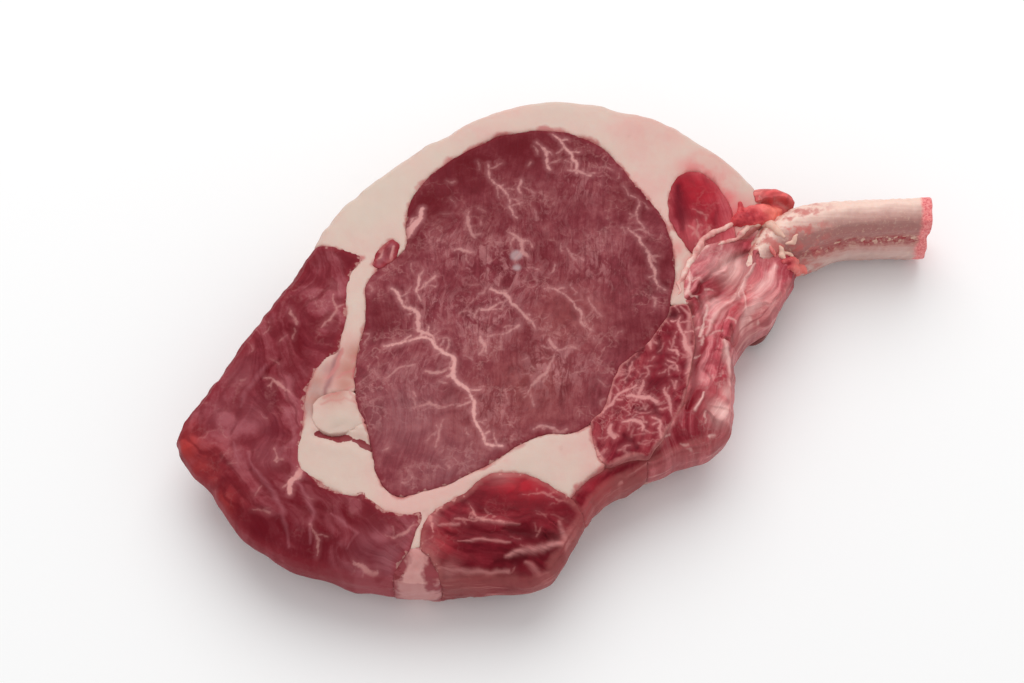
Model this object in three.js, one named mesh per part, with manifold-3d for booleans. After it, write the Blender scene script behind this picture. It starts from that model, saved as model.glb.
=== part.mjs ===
// A raw bone-in rib steak with a long bare rib handle, lying on its flat cut side.
// Millimetres. +X runs out along the bone handle, +Y goes to the fat cap, +Z is up.
// The origin is at the middle of the foot of the steak's box.

import * as THREE from 'three';
import { mergeVertices } from 'three/addons/utils/BufferGeometryUtils.js';
import Module from 'manifold-3d';

const wasm = await Module();
wasm.setup();

// ---- driving dimensions ----

const steakThickness = 31;
const wallBulge = 2.2;          // how far the side wall swells out at half height
const commonUndercut = 4;       // how far the foot of the wall draws in
const undercutCurve = 1.7;      // 1 is a straight slope, more keeps it near the foot
const topEdgeRound = 1.6;       // how far the upper edge is rounded in
const topRoundStart = 0.86;     // the rounding takes the wall above this share of its height
const footEdgeRound = 2.4;
const footRoundEnd = 0.18;
const wallLevels = [0, 0.06, 0.2, 0.5, 0.82, 0.95, 1];  // shares of the wall's height
const faceShares = [0.97, 0.8, 0.5, 0.2];               // shares of the way out to the edge
const footShare = 0.5;
const slabMiddle = new THREE.Vector2(-8, -6);
const pieceGap = 0.3;           // clearance between neighbouring pieces
const seamWidth = 7;            // fat between the eye and the muscles round it
const pieceStep = 4;            // spacing of points along a piece's outline
const slabStep = 6.4;           // spacing of points along the slab's outline
const ovalDegrees = 5;          // an outline is worked out at every so many degrees
const cutLow = -6;              // the cutting prisms run well past the slab
const cutHigh = 46;

const handleDepth = 28;         // the rib's size up and down, along the bare handle
const buriedDepth = 21;         // and where it runs under the meat
const innerEndDepth = 15;       // and at its cut end, low in the front wall
const ribThickness = 15;        // the rib's size in the plane of the steak
const buriedThickness = 10;
const ribSquareness = 2.8;      // 2 is an oval, more is flatter sided
const ribMiddle = 16;           // height of the rib's centre line
const ribEndHeight = 10;        // height of its centre at the inner cut end
const rootSwell = 3;            // the rib is thicker where it leaves the meat
const rootPlace = 0.3;          // shares of the rib's length from the free end
const rootSpread = 0.08;
const meatStart = 0.28;
const meatFull = 0.5;
const narrowStart = 0.6;
const narrowEnd = 0.95;
const grooveDepth = 1.6;        // the shallow groove along the rib's inner face
const grooveHeight = 0.3;       // shares of half the rib's depth
const grooveSpread = 0.28;
const ribFreeEnd = [140, 42];
const ribHeading = 180;         // degrees: the rib starts out toward -X
const ribBends = [[21, 2], [25, 16], [21, 42], [34, 8], [25, -4], [26, -46]];  // lengths and turns
const stepsPerBend = 4;
const sinkStart = 0.72;         // the inner end sinks past this share of the rib's length
const ribRadialSteps = 18;
const ribLengthSteps = 28;

const scrapSize = [21, 9, 10];  // a torn lobe of meat behind the handle
const scrapCentre = [84, 46.5, 24];
const scrapTurn = 0.12;
const flapSize = [25, 13, 13];  // a dark flap of skin that hangs under the rib
const flapCentre = [82.5, 15, 6.5];
const flapTurn = 1.1;
const lobeSteps = [18, 12];

// Each outline is an oval with a centre, half its length and width, and the turn of its long
// way. Each pull moves the edge out, or in when it is negative: toward, spread and distance,
// with directions and turns in degrees anticlockwise from +X.

// The meat's edge on the upper cut face: the tail at the left, the fat cap at the top,
// the handle's root at the right and the domed front at the bottom.
const steakOval = {
  centre: [-6, -2], halfLength: 102, halfWidth: 70, turn: 38,
  pulls: [
    [201, 7, 12], [168, 26, -10], [126, 14, -1.5], [82, 16, 4], [60, 10, -1.5], [44, 8, -3],
    [14, 9, 9], [-4, 7, -6], [-26, 8, 9], [-56, 10, -4], [-80, 10, 11], [-100, 14, 4],
    [-142, 14, 3],
  ],
};

// The large round eye of the rib, with its blunt point at the lower left.
const eyeOval = {
  centre: [0, 6], halfLength: 68, halfWidth: 50, turn: 68,
  pulls: [
    [50, 14, -4], [150, 13, -10], [188, 18, -5], [240, 9, 10], [276, 20, -14], [324, 20, -9],
  ],
};

// The long muscle that wraps the left and the front of the eye.
const capOval = {
  centre: [-75, -48], halfLength: 75, halfWidth: 49, turn: 84, pulls: [[72, 9, 3]],
};

// The pocket of fat and tendon between that muscle and the eye.
const pocketOval = {
  centre: [-51.5, -36], halfLength: 26, halfWidth: 15.5, turn: 95, pulls: [[222, 20, 5]],
};

const frontOval = {
  centre: [-2, -78], halfLength: 26, halfWidth: 24, turn: 0, pulls: [[128, 22, -4], [62, 16, -1]],
};
const narrowOval = {
  centre: [26, -65], halfLength: 19, halfWidth: 8, turn: 52, pulls: [[36, 16, 8]],
};
const cornerOval = {
  centre: [63, 39], halfLength: 17, halfWidth: 10, turn: 106, pulls: [[286, 14, 1]],
};
const ribSideOval = {
  centre: [44, -22], halfLength: 31, halfWidth: 13, turn: 62, pulls: [[288, 26, 12]],
};

// The strip of meat and skin that lies over the rib; its outer side runs past the slab.
const stripOval = {
  centre: [94, -14], halfLength: 70, halfWidth: 34, turn: 70, pulls: [[216, 8, 14], [134, 22, 13]],
};

const smallOval = { centre: [-41.5, 24], halfLength: 6.5, halfWidth: 2.8, turn: 55, pulls: [] };
const nubOval = { centre: [-55, -33], halfLength: 9, halfWidth: 7.5, turn: 0, pulls: [] };
const frontFatOval = { centre: [-29.5, -89], halfLength: 7.5, halfWidth: 9.5, turn: 0, pulls: [] };

// Places where the upper face swells above or sinks below the mean: x, y, radius, height.
const swells = [
  [2, 14, 42, 1.2], [-70, -30, 30, 0.6], [-106, -44, 22, -4], [-50, -68, 20, 0.8],
  [0, -72, 16, 1.2], [42, -26, 14, 1.0], [60, 40, 10, 0.8], [98, 30, 24, -5],
  [74, -6, 14, -1.2], [-54, -34, 7, 1.2], [40, 70, 26, -0.8], [-44, 40, 20, -0.8],
];

// Places where the side wall draws in more at its foot: x, y, radius, extra undercut.
const undercuts = [
  [-104, -50, 44, 11], [-60, 30, 40, 4], [90, 20, 26, 4], [74, -10, 20, -1], [48, -56, 20, 4],
  [22, -68, 13, 8], [78, -38, 14, 7], [12, -84, 12, 4],
];

// ---- shape helpers ----

function bumpSum(list, x, y) {
  return list.reduce((sum, [cx, cy, radius, height]) => {
    const far = ((x - cx) ** 2 + (y - cy) ** 2) / radius ** 2;
    return sum + height * Math.exp(-far);
  }, 0);
}

const topHeight = (x, y) => steakThickness + bumpSum(swells, x, y);

// Points along an oval with pulls, evenly spaced about one step apart.
function ovalOutline({ centre, halfLength, halfWidth, turn, pulls }, step = pieceStep) {
  const corners = [];
  for (let degrees = 0; degrees < 360; degrees += ovalDegrees) {
    const along = Math.cos(THREE.MathUtils.degToRad(degrees - turn)) / halfLength;
    const across = Math.sin(THREE.MathUtils.degToRad(degrees - turn)) / halfWidth;
    const pulled = pulls.reduce((sum, [toward, spread, distance]) => {
      const off = THREE.MathUtils.euclideanModulo(degrees - toward + 180, 360) - 180;
      return sum + distance * Math.exp(-((off / spread) ** 2));
    }, 0);
    const reach = 1 / Math.hypot(along, across) + pulled;
    const heading = THREE.MathUtils.degToRad(degrees);
    corners.push(new THREE.Vector3(
      centre[0] + reach * Math.cos(heading), centre[1] + reach * Math.sin(heading), 0));
  }
  const curve = new THREE.CatmullRomCurve3(corners, true, 'centripetal');
  const count = Math.round(curve.getLength() / step);
  return curve.getSpacedPoints(count).slice(0, count).map((p) => new THREE.Vector2(p.x, p.y));
}

// Outward direction at each point of a closed outline, whichever way it runs.
function outwardNormals(outline) {
  const turn = Math.sign(THREE.ShapeUtils.area(outline));
  return outline.map((point, i) => {
    const before = outline.at(i - 1);
    const after = outline[(i + 1) % outline.length];
    const along = after.clone().sub(before).normalize();
    return new THREE.Vector2(along.y * turn, -along.x * turn);
  });
}

function growOutline(outline, distance) {
  const normals = outwardNormals(outline);
  return outline.map((point, i) => point.clone().addScaledVector(normals[i], distance));
}

function toSolid(geometry) {
  const bare = geometry.clone();
  bare.deleteAttribute('normal');
  bare.deleteAttribute('uv');
  const merged = mergeVertices(bare, 1e-4);
  return new wasm.Manifold(new wasm.Mesh({
    numProp: 3,
    vertProperties: new Float32Array(merged.attributes.position.array),
    triVerts: new Uint32Array(merged.index.array),
  }));
}

// A closed body through a stack of rings, each ring with the same number of points.
// The rings run anticlockwise seen from the last ring's side.
function loftRings(rings) {
  const around = rings[0].length;
  const positions = rings.flat().flatMap((p) => [p.x, p.y, p.z]);
  const index = [];
  for (let r = 0; r + 1 < rings.length; r += 1) {
    for (let i = 0; i < around; i += 1) {
      const next = (i + 1) % around;
      const a = r * around + i;
      const b = r * around + next;
      const c = a + around;
      const d = b + around;
      index.push(a, b, d, a, d, c);
    }
  }
  [[rings[0], 0, true], [rings.at(-1), (rings.length - 1) * around, false]].forEach(
    ([ring, offset, flip]) => {
      const centre = ring.reduce((sum, p) => sum.add(p), new THREE.Vector3()).divideScalar(around);
      const tip = positions.length / 3;
      positions.push(centre.x, centre.y, centre.z);
      for (let i = 0; i < around; i += 1) {
        const a = offset + i;
        const b = offset + ((i + 1) % around);
        if (flip) index.push(b, a, tip);
        else index.push(a, b, tip);
      }
    });
  const geometry = new THREE.BufferGeometry();
  geometry.setAttribute('position', new THREE.Float32BufferAttribute(positions, 3));
  geometry.setIndex(index);
  return toSolid(geometry);
}

function prism(outline) {
  const geometry = new THREE.ExtrudeGeometry(new THREE.Shape(outline), {
    depth: cutHigh - cutLow,
    steps: 1,
    bevelEnabled: false,
  });
  geometry.translate(0, 0, cutLow);
  return toSolid(geometry);
}

// ---- the whole slab of meat, before it is divided ----

function makeSlab(growth) {
  const edge = ovalOutline(steakOval, slabStep);
  const normals = outwardNormals(edge);

  const wallRing = (level) => edge.map((point, i) => {
    const undercut = commonUndercut + bumpSum(undercuts, point.x, point.y);
    const swell = wallBulge * Math.sin(Math.PI * level);
    const drawIn = undercut * (1 - level) ** undercutCurve;
    const topRound = topEdgeRound * Math.max(0, (level - topRoundStart) / (1 - topRoundStart)) ** 2;
    const footRound = footEdgeRound * Math.max(0, 1 - level / footRoundEnd) ** 2;
    const out = growth + swell - drawIn - topRound - footRound;
    const place = point.clone().addScaledVector(normals[i], out);
    const rim = topHeight(point.x, point.y) - topEdgeRound / 2 + growth;
    return new THREE.Vector3(place.x, place.y, rim * level - growth * (1 - level));
  });

  const faceRing = (share, height) => edge.map((point) => {
    const place = slabMiddle.clone().lerp(point, share);
    return new THREE.Vector3(place.x, place.y, height(place.x, place.y));
  });

  const footCentre = new THREE.Vector3(slabMiddle.x, slabMiddle.y, -growth);
  const footRing = wallRing(0).map((p) => footCentre.clone().lerp(p, footShare));
  return loftRings([
    footRing,
    ...wallLevels.map(wallRing),
    ...faceShares.map((share) => faceRing(share, (x, y) => topHeight(x, y) + growth)),
  ]);
}

// ---- the rib ----

// The centre line, from the free end inwards, as bends of even curvature.
function bentPath() {
  const points = [];
  let place = new THREE.Vector2(...ribFreeEnd);
  let heading = THREE.MathUtils.degToRad(ribHeading);
  const whole = ribBends.reduce((sum, [length]) => sum + length, 0);
  let walked = 0;
  const note = () => {
    const sink = THREE.MathUtils.smoothstep(walked / whole, sinkStart, 1);
    points.push(new THREE.Vector3(
      place.x, place.y, THREE.MathUtils.lerp(ribMiddle, ribEndHeight, sink)));
  };
  note();
  ribBends.forEach(([length, turn]) => {
    for (let i = 0; i < stepsPerBend; i += 1) {
      heading += THREE.MathUtils.degToRad(turn) / stepsPerBend;
      const reach = length / stepsPerBend;
      place = place.clone().add(
        new THREE.Vector2(reach * Math.cos(heading), reach * Math.sin(heading)));
      walked += reach;
      note();
    }
  });
  return new THREE.CatmullRomCurve3(points, false, 'centripetal');
}

const ribPath = bentPath();

function makeRib(growth) {
  const rings = [];
  for (let s = 0; s <= ribLengthSteps; s += 1) {
    const share = s / ribLengthSteps;
    const centre = ribPath.getPointAt(share);
    const heading = ribPath.getTangentAt(share);
    const across = new THREE.Vector3(-heading.y, heading.x, 0).normalize();
    const up = new THREE.Vector3(0, 0, 1);
    const buried = THREE.MathUtils.smoothstep(share, meatStart, meatFull);
    const ending = THREE.MathUtils.smoothstep(share, narrowStart, narrowEnd);
    const nearDepth = THREE.MathUtils.lerp(handleDepth, buriedDepth, buried);
    const depth = THREE.MathUtils.lerp(nearDepth, innerEndDepth, ending);
    const swell = rootSwell * Math.exp(-(((share - rootPlace) / rootSpread) ** 2));
    const thickness = THREE.MathUtils.lerp(ribThickness, buriedThickness, buried) + swell;
    const ring = [];
    for (let i = 0; i < ribRadialSteps; i += 1) {
      const angle = (i / ribRadialSteps) * Math.PI * 2;
      const wide = Math.cos(angle);
      const high = Math.sin(angle);
      // A superellipse: flat sides with well rounded upper and lower edges.
      const square = (Math.abs(wide) ** ribSquareness + Math.abs(high) ** ribSquareness)
        ** (-1 / ribSquareness);
      const groove = wide > 0
        ? grooveDepth * Math.exp(-(((high - grooveHeight) / grooveSpread) ** 2)) : 0;
      const sideways = (thickness / 2) * wide * square - groove + growth * wide;
      const upward = (depth / 2) * high * square + growth * high;
      ring.push(centre.clone().addScaledVector(across, sideways).addScaledVector(up, upward));
    }
    rings.push(ring);
  }
  if (growth > 0) {
    const push = (ring, heading, distance) => ring.forEach((p) => p.addScaledVector(heading, distance));
    push(rings[0], ribPath.getTangentAt(0), -growth);
    push(rings.at(-1), ribPath.getTangentAt(1), growth);
  }
  return loftRings(rings);
}

// ---- the loose scrap beside the handle and the dark flap under the rib ----

function makeLobe([length, width, height], centre, turn) {
  const geometry = new THREE.SphereGeometry(0.5, ...lobeSteps);
  geometry.scale(length, width, height);
  geometry.rotateZ(turn);
  geometry.translate(...centre);
  return toSolid(geometry);
}

const rib = makeRib(0);
const ribRoom = makeRib(pieceGap);
const slab = makeSlab(0);
const slabRoom = makeSlab(pieceGap);

const meatSlab = slab.subtract(ribRoom);

const roomFor = (oval, room = pieceGap) => prism(growOutline(ovalOutline(oval), room));

// The fat seam that lines the eye, and the pocket of fat beside it.
const fatSeam = roomFor(eyeOval, seamWidth).add(prism(ovalOutline(pocketOval)));

// Cuts one piece from the slab, clear of the neighbours that come before it.
function cutPiece(oval, neighbours = []) {
  const own = prism(ovalOutline(oval));
  return meatSlab.intersect(
    neighbours.reduce((solid, other) => solid.subtract(roomFor(other)), own));
}

const cap = cutPiece(capOval, [frontFatOval]).subtract(fatSeam);
const front = cutPiece(frontOval, [eyeOval, capOval, frontFatOval]);
const narrow = cutPiece(narrowOval, [eyeOval, frontOval, stripOval]);
const ribSide = cutPiece(ribSideOval, [eyeOval, cornerOval, narrowOval, stripOval]);

const plainOvals = [
  eyeOval, frontOval, narrowOval, cornerOval, ribSideOval, stripOval, smallOval, nubOval,
  frontFatOval,
];
const capRoom = roomFor(capOval).subtract(fatSeam);
const fatCover = plainOvals.reduce(
  (solid, oval) => solid.subtract(roomFor(oval)), meatSlab.subtract(capRoom));

const scrap = makeLobe(scrapSize, scrapCentre, scrapTurn).subtract(slabRoom).subtract(ribRoom);
const flap = makeLobe(flapSize, flapCentre, flapTurn).subtract(slabRoom).subtract(ribRoom);

// ---- the pieces with their colours ----

const looks = {
  muscle: { color: '#8f4651', roughness: 0.5, metalness: 0 },
  darkMuscle: { color: '#7b3a42', roughness: 0.5, metalness: 0 },
  fat: { color: '#dcbfb2', roughness: 0.45, metalness: 0 },
  bone: { color: '#c9a79d', roughness: 0.45, metalness: 0 },
  strip: { color: '#b96a72', roughness: 0.45, metalness: 0 },
};

const pieces = [
  ['rib_eye', cutPiece(eyeOval), looks.muscle],
  ['cap_muscle', cap, looks.muscle],
  ['front_muscle', front, looks.darkMuscle],
  ['narrow_muscle', narrow, looks.darkMuscle],
  ['corner_muscle', cutPiece(cornerOval, [eyeOval, stripOval]), looks.darkMuscle],
  ['rib_side_muscle', ribSide, looks.muscle],
  ['rib_strip', cutPiece(stripOval), looks.strip],
  ['small_muscle', cutPiece(smallOval, [eyeOval]), looks.muscle],
  ['fat_cover', fatCover, looks.fat],
  ['fat_nub', cutPiece(nubOval, [eyeOval]), looks.fat],
  ['front_fat', cutPiece(frontFatOval), looks.fat],
  ['rib_bone', rib, looks.bone],
  ['handle_scrap', scrap, looks.strip],
  ['under_flap', flap, looks.darkMuscle],
];

function toMesh([name, solid, look]) {
  const { vertProperties, triVerts } = solid.getMesh();
  const geometry = new THREE.BufferGeometry();
  geometry.setAttribute('position', new THREE.Float32BufferAttribute(vertProperties, 3));
  geometry.setIndex(new THREE.Uint32BufferAttribute(triVerts, 1));
  geometry.computeVertexNormals();
  const mesh = new THREE.Mesh(geometry, new THREE.MeshStandardMaterial(look));
  mesh.name = name;
  return mesh;
}

const steak = new THREE.Group();
steak.add(...pieces.map(toMesh));

const box = new THREE.Box3().setFromObject(steak);
const centre = box.getCenter(new THREE.Vector3());
steak.position.set(-centre.x, -centre.y, -box.min.z);
steak.updateMatrixWorld(true);

export default steak;
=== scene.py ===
# Raw bone-in rib steak: its muscles, fat, skin and rib are finished round the fixed frame.
import math
import random

import bpy
import numpy as np
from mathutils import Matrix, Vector, kdtree


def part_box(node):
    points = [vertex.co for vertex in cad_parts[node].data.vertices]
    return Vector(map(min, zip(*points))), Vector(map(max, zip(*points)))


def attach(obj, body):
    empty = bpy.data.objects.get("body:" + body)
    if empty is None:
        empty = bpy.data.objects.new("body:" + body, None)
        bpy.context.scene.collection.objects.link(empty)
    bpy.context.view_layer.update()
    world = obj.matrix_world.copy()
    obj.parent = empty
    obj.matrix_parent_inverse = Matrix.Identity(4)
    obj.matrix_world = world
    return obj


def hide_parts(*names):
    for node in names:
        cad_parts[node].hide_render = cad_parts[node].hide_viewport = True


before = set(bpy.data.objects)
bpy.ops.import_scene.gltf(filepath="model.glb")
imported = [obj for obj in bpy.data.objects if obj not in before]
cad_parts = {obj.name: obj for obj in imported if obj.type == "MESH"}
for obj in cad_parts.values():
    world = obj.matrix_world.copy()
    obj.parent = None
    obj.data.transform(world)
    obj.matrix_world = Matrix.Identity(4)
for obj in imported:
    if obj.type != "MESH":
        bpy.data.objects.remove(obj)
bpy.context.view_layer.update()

mm = 0.001
print("frame loaded:", len(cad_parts), "nodes")


# small helpers

def pickOnly(piece):
    bpy.ops.object.select_all(action="DESELECT")
    piece.select_set(True)
    bpy.context.view_layer.objects.active = piece


def smoothStep(low, high, values):
    share = np.clip((values - low) / (high - low), 0, 1)
    return share * share * (3 - 2 * share)


def waveField(points, size, seed, count=16):
    # gentle unevenness: waves of about one size in mm, laid at random headings
    draw = random.Random(seed)
    total = np.zeros(len(points))
    for _ in range(count):
        heading = draw.uniform(0, 2 * math.pi)
        rise = draw.uniform(-0.6, 0.6)
        length = size * draw.uniform(0.7, 1.6)
        phase = draw.uniform(0, 2 * math.pi)
        along = points[:, 0] * math.cos(heading) + points[:, 1] * math.sin(heading)
        total += np.sin((along + rise * points[:, 2]) * (2 * math.pi / length) + phase)
    return total / math.sqrt(count / 2)


def flatten(points):
    return points * np.array([1, 1, 0])


def readAll(items, name):
    values = np.empty(len(items) * 3)
    items.foreach_get(name, values)
    return values.reshape(-1, 3)


def meshPoints(mesh):
    # places in mm, and the way that each point faces
    return readAll(mesh.vertices, "co") / mm, readAll(mesh.vertices, "normal")


def writePoints(mesh, points):
    mesh.vertices.foreach_set("co", (points * mm).ravel())
    mesh.polygons.foreach_set("use_smooth", np.ones(len(mesh.polygons), bool))
    mesh.update()


def writeValues(mesh, **fields):
    for name, values in fields.items():
        layer = mesh.attributes.new(name, "FLOAT", "POINT")
        layer.data.foreach_set("value", values.astype(np.float32))


def writeGrain(mesh, vectors):
    layer = mesh.attributes.new("grain", "FLOAT_VECTOR", "POINT")
    layer.data.foreach_set("vector", vectors.astype(np.float32).ravel())


def nodeBox(node):
    low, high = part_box(node)
    return np.array(low) / mm, np.array(high) / mm


def boxPlace(node, across, up):
    low, high = nodeBox(node)
    return low[:2] + np.array([across, up]) * (high - low)[:2]


def settle(piece, rounds, group=""):
    smooth = piece.modifiers.new("settle", "SMOOTH")
    smooth.factor = 0.5
    smooth.iterations = rounds
    smooth.vertex_group = group
    bpy.ops.object.modifier_apply(modifier=smooth.name)


def remesh(piece, size):
    piece.data.remesh_voxel_size = size * mm
    bpy.ops.object.voxel_remesh()


# strokes: veins, folds and creases that grow across a piece from a start and a few legs

growth = {
    "step": 0.9,          # mm between points
    "wander": 15.0,       # degrees of aimless turn at each step
    "foldWander": 6.0,    # the same for folds
    "driftKept": 0.7,     # share of the aimless turn kept from one step to the next
    "uneven": (0.45, 1.5),  # how thin and how wide a stroke may get
    "widthKept": 0.6,
    "tipWidth": 0.3,      # share of the width left at the tips
    "taper": 0.6,
    "twigEvery": 4.5,     # mm between side twigs, about
    "twigTurn": (30, 85),  # degrees off the stem
    "twigLength": (0.3, 1.0),
    "twigStrength": (0.45, 0.9),
    "twigCurl": 16,       # degrees of steady turn for each mm
    "forks": 0.45,        # how many twigs carry a twig of their own
    "forkLength": 0.5,    # shares of the twig that it grows from
    "forkWidth": 0.75,
    "fleckLength": (0.4, 1.0),
    "fleckStrength": (0.5, 1.0),
    "fleckCurl": 25,
    "clear": 3.0,         # mm, past this a point counts as clear of all veins
    "swellReach": 2.6,    # half widths over which a fold's swell is worked out
}


def walk(place, course, legs, width, draw, curl=0.0, wander=growth["wander"]):
    # a wandering line and its uneven width; each leg is (mm, turn in degrees at its start)
    path = [place]
    drift = 0.0
    for length, turn in legs:
        course += turn
        for _ in range(max(1, round(length / growth["step"]))):
            drift = growth["driftKept"] * drift + draw.gauss(0, wander)
            course += curl * growth["step"]
            angle = math.radians(course + drift)
            path.append(path[-1] + growth["step"] * np.array([math.cos(angle), math.sin(angle)]))
    swell = 1.0
    widths = []
    for i in range(len(path)):
        swell = growth["widthKept"] * swell + (1 - growth["widthKept"]) * draw.uniform(*growth["uneven"])
        share = math.sin(math.pi * (i + 0.5) / len(path)) ** growth["taper"]
        widths.append(width * swell * (growth["tipWidth"] + (1 - growth["tipWidth"]) * share))
    return {"path": np.array(path), "widths": widths}


def growStrokes(node, specs, draw, wander=growth["foldWander"]):
    strokes = []
    for across, up, heading, legs, width, strength in specs:
        line = walk(boxPlace(node, across, up), heading, legs, width, draw, wander=wander)
        strokes.append({**line, "strength": strength})
    return strokes


def growFlecks(node, flecks, draw):
    # short curling flecks strewn over a piece
    count, length, width, strength = flecks
    strokes = []
    for _ in range(count):
        place = boxPlace(node, draw.random(), draw.random())
        legs = ((length * draw.uniform(*growth["fleckLength"]), 0),)
        course = draw.uniform(0, 360)
        curl = draw.uniform(-growth["fleckCurl"], growth["fleckCurl"])
        line = walk(place, course, legs, width, draw, curl)
        strokes.append({**line, "strength": strength * draw.uniform(*growth["fleckStrength"])})
    return strokes


def growTwigs(parent, reach, width, draw, forks):
    twigs = []
    path = parent["path"]
    walked = draw.uniform(0, growth["twigEvery"])
    for i in range(1, len(path) - 1):
        walked -= growth["step"]
        if walked > 0:
            continue
        walked = growth["twigEvery"] * draw.uniform(0.4, 1.6)
        ahead = path[i + 1] - path[i]
        course = math.degrees(math.atan2(ahead[1], ahead[0]))
        course += draw.choice((-1, 1)) * draw.uniform(*growth["twigTurn"])
        length = reach * draw.uniform(*growth["twigLength"])
        curl = draw.uniform(-growth["twigCurl"], growth["twigCurl"])
        line = walk(path[i], course, ((length, 0),), width, draw, curl)
        twig = {**line, "strength": parent["strength"] * draw.uniform(*growth["twigStrength"])}
        twigs.append(twig)
        if forks and draw.random() < growth["forks"]:
            twigs += growTwigs(twig, growth["forkLength"] * reach, growth["forkWidth"] * width, draw, False)
    return twigs


def nearSegments(points, strokes, reach):
    # each short length of each stroke, with the points near it and how far off they are
    for one in strokes:
        path = one["path"]
        for start, end, width in zip(path[:-1], path[1:], one["widths"]):
            half = width / 2
            far = reach(half)
            low = np.minimum(start, end) - far
            high = np.maximum(start, end) + far
            near = np.nonzero(((points[:, :2] > low) & (points[:, :2] < high)).all(1))[0]
            if len(near) == 0:
                continue
            ahead = end - start
            off = points[near, :2] - start
            along = np.clip(off @ ahead / (ahead @ ahead), 0, 1)
            gap = np.hypot(off[:, 0] - along * ahead[0], off[:, 1] - along * ahead[1])
            yield near, gap, half, one["strength"]


def edgeField(points, strokes):
    # mm to the nearest vein's edge, less than 0 inside it, and that vein's strength
    edge = np.full(len(points), growth["clear"])
    force = np.zeros(len(points))
    for near, gap, half, strength in nearSegments(points, strokes, lambda half: half + growth["clear"]):
        closer = gap - half < edge[near]
        edge[near[closer]] = gap[closer] - half
        force[near[closer]] = strength
    return edge, force


def swellField(points, strokes):
    # 1 along each stroke's middle, falling off softly over its width
    field = np.zeros(len(points))
    for near, gap, half, strength in nearSegments(points, strokes, lambda half: growth["swellReach"] * half):
        field[near] = np.maximum(field[near], strength * np.exp(-(gap / half) ** 2))
    return field


def patchField(points, node, patches):
    # soft patches: share across, share up, radius in mm, strength
    field = np.zeros(len(points))
    for across, up, radius, strength in patches:
        x, y = boxPlace(node, across, up)
        far = np.hypot(points[:, 0] - x, points[:, 1] - y)
        field = np.maximum(field, strength * np.exp(-(far / radius) ** 2))
    return field


# fibres lie in bundles, which sway and may bow

fibres = {
    "swaySize": 34,       # mm, how long a sway is
    "stray": 0.16,        # share of a bundle that its edges wander, along and across
    "straySizes": (12, 9),
    "jitter": 0.45,       # share of a bundle that its middle may be off
    "seam": 0.6,          # share of a bundle over which its edge falls away
}


def grainPlace(points, look):
    # mm along and across the fibres
    heading = math.radians(look["grain"])
    middle = points.mean(0)
    x, y = points[:, 0] - middle[0], points[:, 1] - middle[1]
    along = x * math.cos(heading) + y * math.sin(heading)
    across = -x * math.sin(heading) + y * math.cos(heading)
    across += look["sway"] * waveField(flatten(points), fibres["swaySize"], look["seed"] + 5)
    across += look["bow"] * along ** 2 / 100
    return along, across


def bundleField(points, look):
    # how far each point is from its bundle's edge, and the bundle's tone
    u, v = (
        place / size + fibres["stray"] * waveField(flatten(points), straySize, look["seed"] + seed)
        for place, size, straySize, seed in zip(
            grainPlace(points, look), look["bundle"], fibres["straySizes"], (61, 62)))
    draw = random.Random(look["seed"] + 70)
    columns, rows = (range(math.floor(w.min()) - 1, math.ceil(w.max()) + 2) for w in (u, v))
    tree = kdtree.KDTree(len(columns) * len(rows))
    tones = []
    for i in columns:
        for j in rows:
            spot = [k + draw.uniform(-fibres["jitter"], fibres["jitter"]) for k in (i, j)]
            tree.insert((*spot, 0), len(tones))
            tones.append(draw.random())
    tree.balance()
    edge = np.empty(len(points))
    tint = np.empty(len(points))
    for i in range(len(points)):
        (_, own, near), (_, other, next_) = tree.find_n((u[i], v[i], 0), 2)
        edge[i] = min(1, (next_ - near) / fibres["seam"])
        tint[i] = tones[own] + (tones[other] - tones[own]) * 0.5 * (1 - edge[i])
    return smoothStep(0, 1, edge), tint


# the cut: how every piece of the slab is refined

cut = {
    "mergeReach": 0.01,   # mm, corners this near are one
    "settleRounds": 3,
    "grow": 0.8,          # mm each piece widens, so that neighbours meet without a crack
    "strays": ((0.22, 15, 11), (0.12, 4, 21)),  # mm the seams stray, over what size, and a seed
    "swells": ((0.2, 30, 31), (0.05, 6, 32)),   # the same for the upper face's rise and fall
    "wallRelief": (0.25, 16, 41),               # and for the sides
    "wallTop": (18, 28),  # mm, the sides' relief fades out over these heights
    "slumpDeep": 4.0,     # mm the upper edge has sunk where it is free and faces the front
    "slumpReach": 9.0,
    "slumpRise": (4, 30),  # mm, heights over which the slump sets in
    "slumpTurn": (0.0, 0.6),  # how squarely a wall faces the front, from a side wall on
    "softReach": 5.0,     # mm round that edge that are rounded off
    "softRise": (8, 16),
    "softRounds": 40,
    "openGap": 1.8,       # mm, a wall with no neighbour this near is free
    "wallBand": 6.0,      # mm below a piece's top that count as its upper edge
    "wallFade": 0.85,     # how much of the upper face's marks is lost on the sides
    "seamReach": 4,       # mm from a seam over which the bundles' relief sets in
    "domeReach": 6,
    # how level the skin lies, from 0 on a wall to 1 on the flat
    "divideTurn": 0.25,   # past this a face is divided finely
    "uprightTurn": 0.6,   # below this a point belongs to a wall
    "upperTurn": (0.35, 0.8),  # over this the upper face's relief sets in,
    "upperRise": (-2, 4),      # and over these mm round its least height
    "sideTurn": (0.3, 0.75),   # over this the side's marks fade out
}
# what a piece has unless its own dictionary says otherwise
plainCut = {
    "topLow": 20,         # mm, the upper face lies above this height
    "bow": 0.0, "dome": 0.0, "sink": 0.0, "ridgeHigh": 0.2, "grooveDeep": 0.2, "slitDeep": 1.4,
    "veins": (), "flecks": (0, 0, 0, 0), "ridges": (), "grooves": (), "slits": (),
    "palePatches": (), "deepPatches": (), "brightPatches": (), "cloudyPatches": (), "rawPatches": (),
}


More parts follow.
